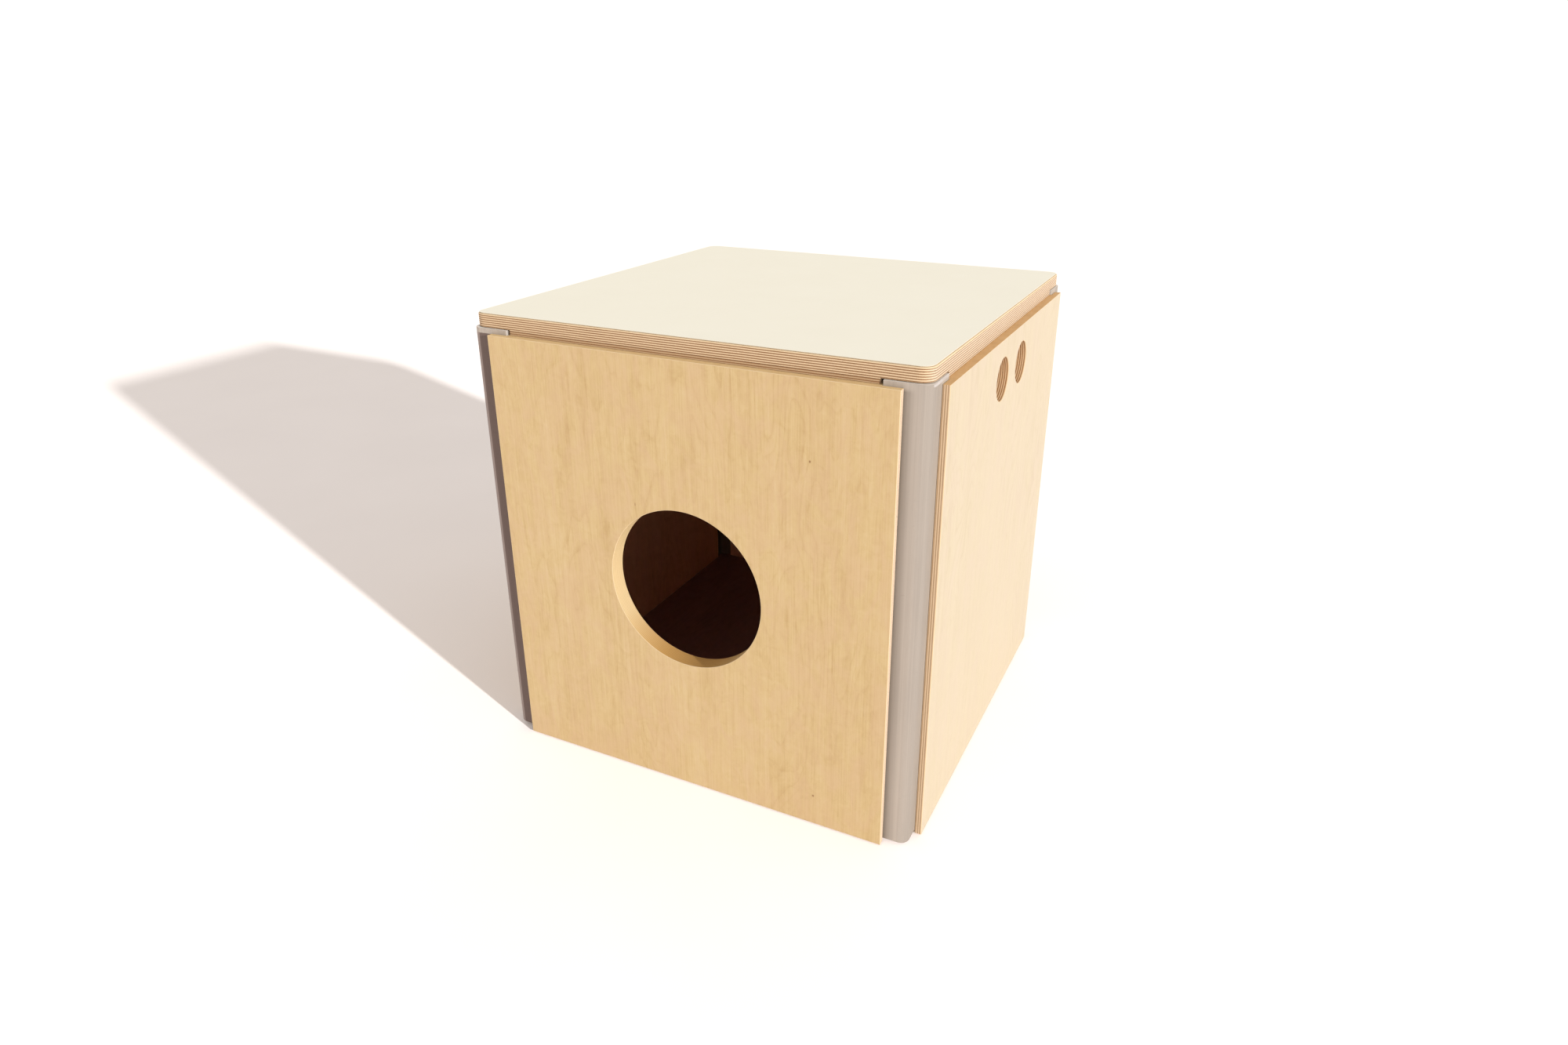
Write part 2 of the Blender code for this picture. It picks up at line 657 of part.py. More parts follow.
def make_snare(frame, materials):
    pivot = bpy.data.objects.new("snare_pivot", None)
    pivot.location = (0.0, PIVOT_Y, PIVOT_Z)
    bpy.context.scene.collection.objects.link(pivot)
    moving = [make_snare_bar(materials), make_lever(materials)]
    moving.append(make_wire_set("snare_wires_left", -WIRE_SET_PLACE, materials))
    moving.append(make_wire_set("snare_wires_right", WIRE_SET_PLACE, materials))
    under_head = SNARE_BAR_HALF + GAP + BRACKET_PLATE + GAP
    for side, word in ((-1, "left"), (1, "right")):
        place = (side * under_head, 0.0, 0.0)
        moving.append(pan_screw("snare_bolt_" + word, PIVOT_BOLT, place, (-side, 0, 0), materials["steel"]))
    tools = [modifier.object for item in moving for modifier in item.modifiers if modifier.type == "BOOLEAN"]
    for item in moving + tools:
        item.parent = pivot
    make_brackets(frame, materials)


def build():
    clear_scene()
    materials = make_materials()
    make_posts(materials)
    make_panels(materials)
    seat = make_seat(materials)
    make_cleats(seat, materials)
    make_bottom(materials)
    frame = make_rear_frame(materials)
    make_tapa(frame, materials)
    make_snare(frame, materials)


build()
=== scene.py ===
"""Looks for the cube-shaped cajon: each CAD node is remade with fine detail and a procedural material.

Units are metres in the row frame: the origin is on the floor under the middle of the box and +Z is up.
The sound hole faces -Y, the tapa faces +Y and the grip holes face +X and -X.
Panels are drawn in their place at the front, then turned about Z in quarter turns.
"""
from math import ceil, cos, hypot, pi, radians, sin

import bmesh
import bpy
from mathutils import Matrix, Vector


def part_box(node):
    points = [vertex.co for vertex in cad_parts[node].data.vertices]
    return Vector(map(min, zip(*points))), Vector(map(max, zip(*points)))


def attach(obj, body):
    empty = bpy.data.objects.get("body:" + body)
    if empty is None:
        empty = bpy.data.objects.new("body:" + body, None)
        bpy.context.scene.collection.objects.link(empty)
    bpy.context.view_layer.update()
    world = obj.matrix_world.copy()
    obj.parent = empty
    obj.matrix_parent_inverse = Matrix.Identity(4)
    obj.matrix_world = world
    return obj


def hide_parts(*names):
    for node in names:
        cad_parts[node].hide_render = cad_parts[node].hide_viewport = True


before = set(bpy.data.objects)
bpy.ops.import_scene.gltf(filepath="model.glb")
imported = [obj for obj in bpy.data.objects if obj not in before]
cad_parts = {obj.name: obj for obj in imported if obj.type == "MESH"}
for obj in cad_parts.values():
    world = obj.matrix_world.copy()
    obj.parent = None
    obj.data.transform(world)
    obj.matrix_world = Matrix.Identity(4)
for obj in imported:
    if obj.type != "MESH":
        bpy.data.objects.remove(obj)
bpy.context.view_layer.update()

FRONT, RIGHT, REAR, LEFT = 0, 1, 2, 3   # quarter turns about Z
X, Y, Z = 0, 1, 2
UP = (0, 0, 1)
CORNERS = ("front_right", "rear_right", "rear_left", "front_left")

# Sizes read from the CAD nodes
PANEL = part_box("front_panel")
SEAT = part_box("top_board")
TOP_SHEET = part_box("seat_laminate")
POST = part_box("corner_post_front_right")
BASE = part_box("bottom_board")
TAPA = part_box("tapa")
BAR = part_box("snare_bar")
HALF = -PANEL[0].y
INNER_FACE = -PANEL[1].y
BOARD = HALF - INNER_FACE
PANEL_HALF = PANEL[1].x
PANEL_LOW = PANEL[0].z
PANEL_TOP = PANEL[1].z
POST_FACE = -POST[0].y
FLANGE_END = POST[0].x
PIVOT = Vector((0.0, 0.272, 0.400))

# Sizes of the details inside those boxes
GAP = 0.0003
POST_WALL = 0.007
POST_CORNER_RADIUS = 0.012
GROOVE_END = 0.2475
DADO_DEPTH = 0.006
SEAT_CORNER_RADIUS = 0.016
SEAT_EDGE_RADIUS = 0.0014
SEAT_NOTCH = 0.0562
SEAT_NOTCH_HEIGHT = 0.0066
SOUND_HOLE_RADIUS = 0.107
GRIP_HOLE_RADIUS = 0.0280
GRIP_HOLE_SPACING = 0.092
GRIP_HOLE_BELOW_TOP = 0.0515
PLIES = 17
# The post's bright rim is a painted highlight on the front right post's +X face.
CROWN_START = 0.0028      # height above the panels where the post's bright rim starts
CUT_MARGIN = 0.001        # how far a cutting shape starts outside the piece
PLATE_CORNER = 0.0030     # round corners of the tapa and of the snare bar's section
BRACKET_PLATE = 0.002
BRACKET_BEND, BRACKET_OUTER_BEND = 0.0015, 0.0030
BOLT_HOLE = 0.0029
CLIP_BEHIND_PIVOT = 0.004
CLIP_HALF = 0.0006        # half the thickness of a wire set's clip, and of its end plate
CLIP_DEPTH = 0.009
WIRES_PER_SET = 8
WIRE_SPACING = 0.0076
COIL_RADIUS = 0.00055
STRAND_RADIUS = 0.00022
COIL_PITCH = 0.0021

# Screws: head radius, head height, shank radius and length under the head
CLEAT_SCREW = (0.0042, 0.0022, 0.0019, 0.0320)
FOOT_SCREW = (0.0045, 0.0022, 0.0019, 0.0145)
BRACKET_SCREW = (0.0032, 0.0018, 0.0016, 0.0160)
PIVOT_BOLT = (0.0055, 0.0040, 0.0025, 0.0215)

# The tapa's countersunk holes and screws: radius and depth from its face
COUNTERSINK = ((0.0041, -CUT_MARGIN), (0.0041, 0.0002), (0.0021, 0.0022), (0.0021, 0.006))
TAPA_SCREW = ((0.0034, 0.0001), (0.0036, 0.0003), (0.0016, 0.0020), (0.0016, 0.0128), (0.0004, 0.0160))
TAPA_SCREW_CROSS = (0.0044, 0.0010, 0.0014)

# Pin knots in the front panel: where each is, and how tightly it is drawn in on each axis
PIN_KNOTS = (
    ((0.1697, -HALF, 0.4956), (560.0, 1.0, 440.0)),
    ((0.1789, -HALF, 0.0452), (480.0, 1.0, 420.0)),
    ((-0.0655, -HALF, 0.4006), (1300.0, 1.0, 300.0)),
)
KNOT_BROWN = (0.22, 0.10, 0.032)

# The finger knob, turned about the bar's hole: radius and distance from the pivot
KNOB = (
    (0.0038, 0.0010), (0.0040, 0.0014), (0.0040, 0.0093), (0.0062, 0.0093), (0.0065, 0.0098),
    (0.0063, 0.0112), (0.0056, 0.0130), (0.0054, 0.0160), (0.0053, 0.0200), (0.0055, 0.0222),
    (0.0049, 0.0226), (0.0049, 0.0230), (0.0056, 0.0234), (0.0058, 0.0258), (0.0052, 0.0262),
    (0.0052, 0.0266), (0.0062, 0.0270), (0.0074, 0.0300), (0.0090, 0.0335), (0.0102, 0.0368),
    (0.0109, 0.0400), (0.0110, 0.0425), (0.0108, 0.0450), (0.0102, 0.0475), (0.0091, 0.0500),
    (0.0074, 0.0520), (0.0052, 0.0533), (0.0025, 0.0540),
)

# Eased edges and shading of the meshes
PANEL_EASE, BASE_EASE, CLEAT_EASE = 0.0005, 0.0008, 0.0012
POST_EASE, BRACKET_EASE = 0.0004, 0.0003
EASED_ANGLE = radians(35)   # sharper edges than this are eased
SHARP_ANGLE = radians(38)   # sharper edges than this stay crisp on a mesh with its own rounding
FLAT_FACE_AREA = 0.0001     # faces larger than this are shaded flat

# Light and camera
SUN_TRAVEL = Vector((-0.914, 0.328, -0.240))
SUN_WIDTH = radians(1.4)
FLOOR_RADIUS = 40
CAMERA_PLACE = (0.5959, -1.2471, 0.8836)
CAMERA_DOWN, CAMERA_TURN = radians(22.777), radians(26.02)
CAMERA_LENS, CAMERA_SENSOR = 22.997, 36.0
CAMERA_SHIFT = (-0.0004, -0.0153)


# Mesh helpers

def stacked(maker, rings):
    """Skin a stack of equal rings, lowest first and each counter-clockwise, and cap both ends."""
    made = [[maker.verts.new(point) for point in ring] for ring in rings]
    maker.faces.new(list(reversed(made[0])))
    maker.faces.new(made[-1])
    for lower, upper in zip(made, made[1:]):
        count = len(lower)
        for i in range(count):
            j = (i + 1) % count
            maker.faces.new((lower[i], lower[j], upper[j], upper[i]))


def prism(outline, low, high):
    maker = bmesh.new()
    stacked(maker, [[(x, y, z) for x, y in outline] for z in (low, high)])
    return maker


def block(low, high):
    outline = [(low[0], low[1]), (high[0], low[1]), (high[0], high[1]), (low[0], high[1])]
    return prism(outline, low[2], high[2])


def middle(low, high):
    """The middle of a box."""
    return tuple((first + second) / 2 for first, second in zip(low, high))


def arc(centre, radius, start, end, steps):
    """Points along an arc in plan, with its angles in degrees."""
    points = []
    for i in range(steps + 1):
        angle = radians(start + (end - start) * i / steps)
        points.append((centre[0] + radius * cos(angle), centre[1] + radius * sin(angle)))
    return points


def rounded_box(low, high, radius, steps=8):
    """Plan outline of a rectangle with round corners."""
    outline = []
    corners = ((high[0], low[1]), (high[0], high[1]), (low[0], high[1]), (low[0], low[1]))
    inward = ((-1, 1), (-1, -1), (1, -1), (1, 1))
    for i, ((x, y), (dx, dy)) in enumerate(zip(corners, inward)):
        centre = (x + dx * radius, y + dy * radius)
        outline += arc(centre, radius, 90 * i - 90, 90 * i, steps)
    return outline


def lathe(profile, segments):
    """A turned shape along +Z from (radius, height) pairs, lowest first."""
    maker = bmesh.new()
    rings = []
    for radius, height in profile:
        turn = [2 * pi * i / segments for i in range(segments)]
        rings.append([(radius * cos(a), radius * sin(a), height) for a in turn])
    stacked(maker, rings)
    return maker


def aimed(maker, place, direction):
    """Turn a shape made along +Z to point along a direction, with its origin at a place."""
    matrix = Vector(direction).to_track_quat("Z", "Y").to_matrix().to_4x4()
    matrix.translation = Vector(place)
    maker.transform(matrix)
    return maker


def merged(makers):
    """Several separate shapes as one mesh."""
    whole = bmesh.new()
    for maker in makers:
        mesh = bpy.data.meshes.new("part")
        maker.to_mesh(mesh)
        maker.free()
        whole.from_mesh(mesh)
        bpy.data.meshes.remove(mesh)
    return whole


def loose_object(maker, name):
    mesh = bpy.data.meshes.new(name)
    maker.to_mesh(mesh)
    maker.free()
    mesh.shade_smooth()
    item = bpy.data.objects.new(name, mesh)
    bpy.context.scene.collection.objects.link(item)
    return item


def finished(node, maker, looks, body="box", quarter=FRONT, cuts=(), ease=PANEL_EASE, pick=None):
    """Cut and ease one mesh, give its faces their materials, and let it stand for its CAD node.

    A mesh that comes with its own rounding has ease 0. pick says which of the looks a face has,
    from its centre and normal before the quarter turn.
    """
    item = loose_object(maker, node + "_finished")
    tools = [loose_object(cut, node + "_cut") for cut in cuts]
    for tool in tools:
        modifier = item.modifiers.new("cut", "BOOLEAN")
        modifier.operation = "DIFFERENCE"
        modifier.solver = "EXACT"
        modifier.object = tool
    if ease:
        easing = item.modifiers.new("eased", "BEVEL")
        easing.width = ease
        easing.segments = 2
        easing.limit_method = "ANGLE"
        easing.angle_limit = EASED_ANGLE
        easing.use_clamp_overlap = False
        weighted = item.modifiers.new("weighted", "WEIGHTED_NORMAL")
        weighted.keep_sharp = True
    bpy.context.view_layer.update()
    graph = bpy.context.evaluated_depsgraph_get()
    mesh = bpy.data.meshes.new_from_object(item.evaluated_get(graph), depsgraph=graph)
    mesh.name = item.name
    if not ease:
        mesh.set_sharp_from_angle(angle=SHARP_ANGLE)
        for face in mesh.polygons:
            if face.area > FLAT_FACE_AREA:
                face.use_smooth = False
    item.modifiers.clear()
    item.data = mesh
    for tool in tools:
        bpy.data.objects.remove(tool)
    mesh.materials.clear()
    for look in looks:
        mesh.materials.append(look)
    for face in mesh.polygons:
        face.material_index = pick(face.center, face.normal) if pick else 0
    mesh.transform(Matrix.Rotation(quarter * pi / 2, 4, "Z"))
    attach(item, body)
    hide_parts(node)


# Materials

EVEN = (1.0, 1.0, 1.0)    # no stretch


class Look:
    """One procedural material, with short ways to add its nodes."""

    def __init__(self, name, **sockets):
        self.material = bpy.data.materials.new(name)
        self.material.use_nodes = True
        self.tree = self.material.node_tree
        self.shader = self.tree.nodes["Principled BSDF"]
        for socket, value in sockets.items():
            self.shader.inputs[socket.replace("_", " ")].default_value = value
        coordinates = self.node("ShaderNodeTexCoord")
        self.place = coordinates.outputs["Object"]
        self.normal = coordinates.outputs["Normal"]

    def node(self, kind, inputs=(), **settings):
        made = self.tree.nodes.new(kind)
        for name, value in settings.items():
            setattr(made, name, value)
        for socket, value in dict(inputs).items():
            self.feed(made.inputs[socket], value)
        return made

    def feed(self, socket, value):
        if isinstance(value, bpy.types.NodeSocket):
            self.tree.links.new(value, socket)
        else:
            socket.default_value = value

    def math(self, operation, first, second=0.0, clamp=False):
        inputs = {0: first, 1: second}
        return self.node("ShaderNodeMath", inputs, operation=operation, use_clamp=clamp).outputs[0]

    def total(self, start, *terms):
        """start plus each (weight, value) pair."""
        for weight, value in terms:
            inputs = {0: value, 1: weight, 2: start}
            start = self.node("ShaderNodeMath", inputs, operation="MULTIPLY_ADD").outputs[0]
        return start

    def centred(self, value):
        """A pattern between 0 and 1 moved to lie about 0."""
        return self.math("SUBTRACT", value, 0.5)

    def vector_math(self, operation, *values):
        return self.node("ShaderNodeVectorMath", dict(enumerate(values)), operation=operation)

    def placed(self, stretch, seed=0.0):
        """Object coordinates stretched on each axis and shifted by a seed."""
        shift = (seed * 1.7, seed * 2.3, seed * 3.1)
        inputs = {"Vector": self.place, "Location": shift, "Scale": stretch}
        return self.node("ShaderNodeMapping", inputs).outputs[0]

    def noise(self, vector, scale=1.0, detail=2.0, roughness=0.5, distortion=0.0):
        inputs = {"Vector": vector, "Scale": scale, "Detail": detail}
        inputs.update({"Roughness": roughness, "Distortion": distortion})
        return self.node("ShaderNodeTexNoise", inputs).outputs[0]

    def ramp(self, value, *stops):
        """Tones between (position, colour or grey) stops."""
        made = self.node("ShaderNodeValToRGB", {0: value})
        band = made.color_ramp
        while len(band.elements) < len(stops):
            band.elements.new(0.5)
        for element, (position, colour) in zip(band.elements, stops):
            element.position = position
            rgb = colour if isinstance(colour, tuple) else (colour, colour, colour)
            element.color = (*rgb, 1.0)
        return made.outputs[0]

    def tones(self, value, dark, middling, light):
        return self.ramp(value, (0.0, dark), (0.5, middling), (1.0, light))

    def mix(self, factor, first, second, blend="MIX"):
        made = self.node("ShaderNodeMix", data_type="RGBA", blend_type=blend)
        self.feed(made.inputs[0], factor)
        for socket, value in ((made.inputs[6], first), (made.inputs[7], second)):
            self.feed(socket, (*value, 1.0) if isinstance(value, tuple) else value)
        return made.outputs[2]

    # Multiplies a colour by a factor; every use in this script paints light or shade into the colour.
    def painted_shading(self, colour, shading):
        return self.mix(1.0, colour, shading, "MULTIPLY")

    def axis(self, index):
        return self.node("ShaderNodeSeparateXYZ", {0: self.place}).outputs[index]

    def facing(self, direction):
        """How squarely the surface faces a direction."""
        return self.vector_math("DOT_PRODUCT", self.normal, direction).outputs["Value"]

    def finish(self, colour=None, roughness=None, height=None, depth=0.0002):
        if colour is not None:
            self.feed(self.shader.inputs["Base Color"], colour)
        if roughness is not None:
            self.feed(self.shader.inputs["Roughness"], roughness)
        if height is not None:
            bump = self.node("ShaderNodeBump", {"Height": height, "Distance": depth, "Strength": 1.0})
            self.feed(self.shader.inputs["Normal"], bump.outputs[0])
        return self.material


def along_axis(axis, length_scale):
    """A stretch that draws a pattern out along one axis."""
    stretch = [1.0, 1.0, 1.0]
    stretch[axis] = length_scale
    return tuple(stretch)


def veneer(name, grain_axis, tones, seed, contrast=1.0, specks=(), top_shade=None):
    """Rotary-cut birch: ring contours, long fibres, curl across the grain and a few pin knots.

    rising sets the painted shade that darkens the wood towards the top of the box.
    """
    look = Look(name, Specular_IOR_Level=0.35, Coat_Weight=0.10, Coat_Roughness=0.35)

    def along(length_scale, step):
        return look.placed(along_axis(grain_axis, length_scale), seed + step)

    broad = look.noise(along(0.20, 0), 11.0, 3.0, 0.45, 0.25)
    rings = look.math("FRACT", look.math("MULTIPLY", broad, 22.0))
    ring_line = look.ramp(
        rings, (0.0, 1.0), (0.10, 0.55), (0.30, 0.10), (0.80, 0.0), (0.97, 0.35), (1.0, 1.0)
    )
    ring_mask = look.ramp(look.noise(along(0.35, 5), 7.0, 2.0), (0.38, 0.15), (0.62, 1.0))
    ring_line = look.math("MULTIPLY", ring_line, ring_mask)
    patches = look.noise(along(0.30, 1), 9.0, 4.0, 0.55, 0.6)
    streaks = look.noise(along(0.030, 2), 110.0, 4.0, 0.60)
    fibres = look.noise(along(0.022, 3), 620.0, 3.0, 0.65)
    curl = look.noise(along(0.8, 4), 75.0, 4.0, 0.6, 1.2)
    flecks = look.ramp(look.noise(along(0.14, 6), 900.0, 1.0), (0.66, 0.0), (0.76, 1.0))
    tone = look.total(
        0.50,
        (-0.17 * contrast, ring_line),
        (0.30 * contrast, look.centred(patches)),
        (0.40 * contrast, look.centred(streaks)),
        (0.60 * contrast, look.centred(fibres)),
        (0.46 * contrast, look.centred(curl)),
        (-0.14 * contrast, flecks),
    )
    colour = look.tones(tone, *tones)
    blush = look.ramp(look.noise(along(0.45, 7), 34.0, 6.0, 0.66, 1.0), (0.42, 0.0), (0.62, 1.0))
    pink = tuple(value * tint for value, tint in zip(tones[1], (1.00, 0.935, 1.13)))
    colour = look.mix(look.math("MULTIPLY", blush, 0.45 * contrast), colour, pink)
    for speck, squeeze in specks:
        spot = look.vector_math("SUBTRACT", look.place, speck).outputs[0]
        spot = look.vector_math("MULTIPLY", spot, squeeze).outputs[0]
        reach = look.vector_math("LENGTH", spot).outputs["Value"]
        colour = look.mix(look.ramp(reach, (0.30, 0.85), (0.95, 0.0)), colour, KNOT_BROWN)
    # Painted shade: the wood darkens towards the top of the box.
    if top_shade is not None:
        colour = look.painted_shading(colour, look.ramp(look.axis(Z), (0.05, 1.0), (0.45, top_shade)))
    roughness = look.total(0.40, (0.16, fibres), (0.08, ring_line))
    height = look.total(0.0, (0.6, fibres), (-0.5, flecks), (0.25, streaks))
    return look.finish(colour, roughness, height, 0.00012)


def ply_edge(name, axis, outer, inward, tones, contrast=1.0, seed=0.0, split=None, tint=None, sunlit_contrast=0.72):
    """The cut edge of birch plywood: long-grain and end-grain plies by turns, with glue lines.

    outer is where the first ply starts on the axis and inward is the way into the board.
    The tones are the long grain, the end grain and the glue. split is the ply under which the
    seat board's lower plies show darker, tint is a direction with the painted light tint for the
    faces that face that way, and bleach is how much ply contrast painted sunlight leaves on edges that face
    +X.
    """
    light, dark, glue = tones
    look = Look(name, Specular_IOR_Level=0.25)
    wobble = look.noise(look.placed(EVEN, seed), 34.0, 2.0)
    depth = look.math("MULTIPLY", look.math("SUBTRACT", look.axis(axis), outer), inward * PLIES / BOARD)
    depth = look.total(depth, (0.30, look.centred(wobble)))
    pair = look.math("FRACT", look.math("MULTIPLY", depth, 0.5))
    stripe = look.ramp(pair, (0.0, 0.5), (0.04, 0.0), (0.46, 0.0), (0.50, 1.0), (0.96, 1.0), (1.0, 0.5))
    line = look.ramp(pair, (0.0, 1.0), (0.045, 0.0), (0.455, 0.0), (0.50, 1.0), (0.545, 0.0), (0.955, 0.0))
    squeeze = along_axis(axis, 3.0)
    end_grain = look.noise(look.placed(squeeze, seed + 2), 900.0, 3.0, 0.7)
    drift = look.noise(look.placed(along_axis(axis, 14.0), seed + 3), 30.0, 3.0, 0.6)
    open_ends = look.noise(look.placed(squeeze, seed + 4), 240.0, 2.0)
    open_ends = look.ramp(open_ends, (0.62, 0.0), (0.72, 1.0))
    strength = look.total(0.85 * contrast, (0.60 * contrast, look.centred(drift)))
    # Painted sunlight: plies on edges that face +X lose contrast.
    sun_washout = look.ramp(look.facing((1, 0, 0)), (0.40, 1.0), (0.95, sunlit_contrast))
    strength = look.math("MULTIPLY", strength, sun_washout)
    colour = look.mix(look.math("MULTIPLY", stripe, strength, True), light, dark)
    colour = look.mix(look.math("MULTIPLY", line, 0.55 * contrast), colour, glue)
    grain_dust = look.math("MULTIPLY", end_grain, stripe)
    pore_dust = look.math("MULTIPLY", open_ends, stripe)
    dust = look.total(0.0, (0.35, grain_dust), (0.35, pore_dust))
    colour = look.mix(look.math("MULTIPLY", dust, contrast), colour, glue)
    if split is not None:
        front = look.ramp(look.facing((0, -1, 0)), (0.40, 0.0), (0.90, 1.0))
        start = look.math("MULTIPLY", look.math("GREATER_THAN", depth, float(split)), front)
        near = look.math("COMPARE", depth, float(split))
        near.node.inputs[2].default_value = 0.22
        near = look.math("MULTIPLY", near, front)
        colour = look.mix(look.math("MULTIPLY", start, 0.40), colour, dark)
        colour = look.mix(look.math("MULTIPLY", near, 0.70), colour, glue)
    # Painted light: a tint on the faces that point one way.
    if tint is not None:
        direction, shading = tint
        shading = look.ramp(look.facing(direction), (0.50, 1.0), (0.95, shading))
        colour = look.painted_shading(colour, shading)
    height = look.total(0.0, (-0.6, line), (0.5, end_grain), (-0.5, open_ends))
    return look.finish(colour, look.total(0.55, (0.25, end_grain)), height, 0.00015)


def plain_edge(name, tones, seed):
    """Sanded or sealed edge where the plies hardly show."""
    look = Look(name, Specular_IOR_Level=0.25)
    drift = look.noise(look.placed(along_axis(Z, 0.4), seed), 60.0, 4.0, 0.6)
    grit = look.noise(look.placed(EVEN, seed + 1), 900.0, 2.0, 0.6)
    tone = look.total(0.50, (0.9, look.centred(drift)), (0.35, look.centred(grit)))
    return look.finish(look.tones(tone, *tones), look.total(0.50, (0.20, grit)), grit, 0.00010)


def anodised(name, colour, seed, cut_end=False, panel_shade_and_highlight=False):
    """Matt anodised extrusion: fine die lines along its length, or saw marks on a cut end, with painted shade
    on faces that point at the sun.

    With grimed set, painted shade darkens it beside the front panel and a painted highlight brightens it
    beside the right panel.
    """
    look = Look(name, Metallic=0.20, Specular_IOR_Level=0.30)
    if cut_end:
        lines = look.noise(look.placed(along_axis(Y, 0.12), seed), 900.0, 3.0, 0.6)
    else:
        lines = look.noise(look.placed(along_axis(Z, 0.004), seed), 760.0, 3.0, 0.65)
    bands = look.noise(look.placed(along_axis(Z, 0.012), seed + 1), 150.0, 2.0)
    cloud = look.noise(look.placed(along_axis(Z, 0.25), seed + 2), 28.0, 3.0, 0.6)
    scuffs = look.noise(look.placed(along_axis(Z, 2.5), seed + 3), 130.0, 4.0, 0.7, 1.2)
    scuffs = look.ramp(scuffs, (0.62, 0.0), (0.74, 1.0))
    tone = look.total(
        0.50,
        (0.55, look.centred(lines)),
        (0.45, look.centred(bands)),
        (0.35, look.centred(cloud)),
        (-0.10, scuffs),
    )
    deep = tuple(value * 0.72 for value in colour)
    pale = tuple(min(1.0, value * 1.22) for value in colour)
    shade = look.tones(tone, deep, colour, pale)
    # Painted shade: faces that point at the sun are darkened to even out the sunlight.
    sunward = look.facing(tuple(-SUN_TRAVEL))
    shade = look.painted_shading(shade, look.ramp(sunward, (0.33, 1.0), (1.0, 0.67)))
    if panel_shade_and_highlight:
        # Painted shade on front-facing faces beside the front panel, below the panels' top.
        side = look.math("ABSOLUTE", look.axis(X))
        side = look.math("MINIMUM", side, look.math("ABSOLUTE", look.axis(Y)))
        panel_shade = look.ramp(side, (PANEL_HALF, 0.46), (PANEL_HALF + 0.004, 0.68), (PANEL_HALF + 0.013, 1.0))
        front = look.ramp(look.facing((0, -1, 0)), (0.70, 0.0), (0.98, 1.0))
        below = look.ramp(look.axis(Z), (PANEL_TOP - 0.001, 1.0), (PANEL_TOP, 0.0))
        shade = look.mix(look.math("MULTIPLY", front, below), shade, look.painted_shading(shade, panel_shade))
        # Painted highlight on +X faces beside the right panel.
        wear_and_highlight = look.ramp(side, (PANEL_HALF, 1.32), (PANEL_HALF + 0.004, 1.0))
        right = look.ramp(look.facing((1, 0, 0)), (0.70, 0.0), (0.98, 1.0))
        shade = look.mix(right, shade, look.painted_shading(shade, wear_and_highlight))
    roughness = look.total(0.52, (0.18, lines), (0.10, cloud), (0.08, scuffs))
    return look.finish(shade, roughness, look.total(0.0, (1.0, lines), (0.5, bands)), 0.00006)


def laminate(name):
    """Pale seat laminate: a soft mottle, fine speckle, a faint orange peel and spots worn by rubbing."""
    look = Look(name)
    mottle = look.noise(look.placed(EVEN), 14.0, 4.0, 0.6)
    speckle = look.noise(look.placed(EVEN, 3.0), 1500.0, 1.0)
    peel = look.noise(look.placed(EVEN, 5.0), 420.0, 2.0)
    wear_and_highlight = look.noise(look.placed(along_axis(Y, 0.30), 7.0), 36.0, 5.0, 0.7, 1.0)
    wear_and_highlight = look.ramp(wear_and_highlight, (0.60, 0.0), (0.75, 1.0))
    tone = look.total(0.5, (0.30, look.centred(mottle)), (0.30, look.centred(speckle)), (0.06, wear_and_highlight))
    colour = look.tones(tone, (0.806, 0.774, 0.660), (0.854, 0.825, 0.716), (0.884, 0.860, 0.760))
    look.feed(look.shader.inputs["Specular IOR Level"], look.math("MULTIPLY", wear_and_highlight, 0.08))
    return look.finish(colour, look.total(0.66, (0.12, peel), (0.06, wear_and_highlight)), peel, 0.00003)


def batten(name, tones, seed, grain_axis, ring_scale=30.0):
    """Pine or beech stock with straight grain, fibres and short flecks."""
    look = Look(name, Specular_IOR_Level=0.25)
    broad = look.noise(look.placed(along_axis(grain_axis, 0.05), seed), ring_scale, 2.0, 0.5, 0.2)
    rings = look.math("FRACT", look.math("MULTIPLY", broad, 18.0))
    rings = look.ramp(rings, (0.0, 0.0), (0.75, 0.75), (0.92, 1.0), (1.0, 0.0))
    fibres = look.noise(look.placed(along_axis(grain_axis, 0.03), seed + 1), 700.0, 3.0, 0.7)
    flecks = look.noise(look.placed(along_axis(grain_axis, 0.18), seed + 2), 620.0, 1.0)
    flecks = look.ramp(flecks, (0.64, 0.0), (0.72, 1.0))
    tone = look.total(0.80, (-0.45, rings), (0.45, look.centred(fibres)), (-0.30, flecks))
    height = look.total(0.0, (1.0, fibres), (-0.6, flecks))
    return look.finish(look.tones(tone, *tones), look.total(0.45, (0.20, fibres)), height, 0.00015)


def rubber(name):
    """Black moulded rubber with dust on it."""
    look = Look(name, Specular_IOR_Level=0.35)
    grain = look.noise(look.placed(EVEN), 900.0, 3.0, 0.7)
    dust = look.ramp(look.noise(look.placed(EVEN, 2.0), 140.0, 4.0, 0.7), (0.50, 0.0), (0.72, 1.0))
    tone = look.total(0.15, (0.25, grain), (0.55, dust))
    colour = look.tones(tone, (0.012, 0.012, 0.013), (0.030, 0.029, 0.028), (0.075, 0.070, 0.064))
    return look.finish(colour, look.total(0.62, (0.22, grain)), grain, 0.00010)


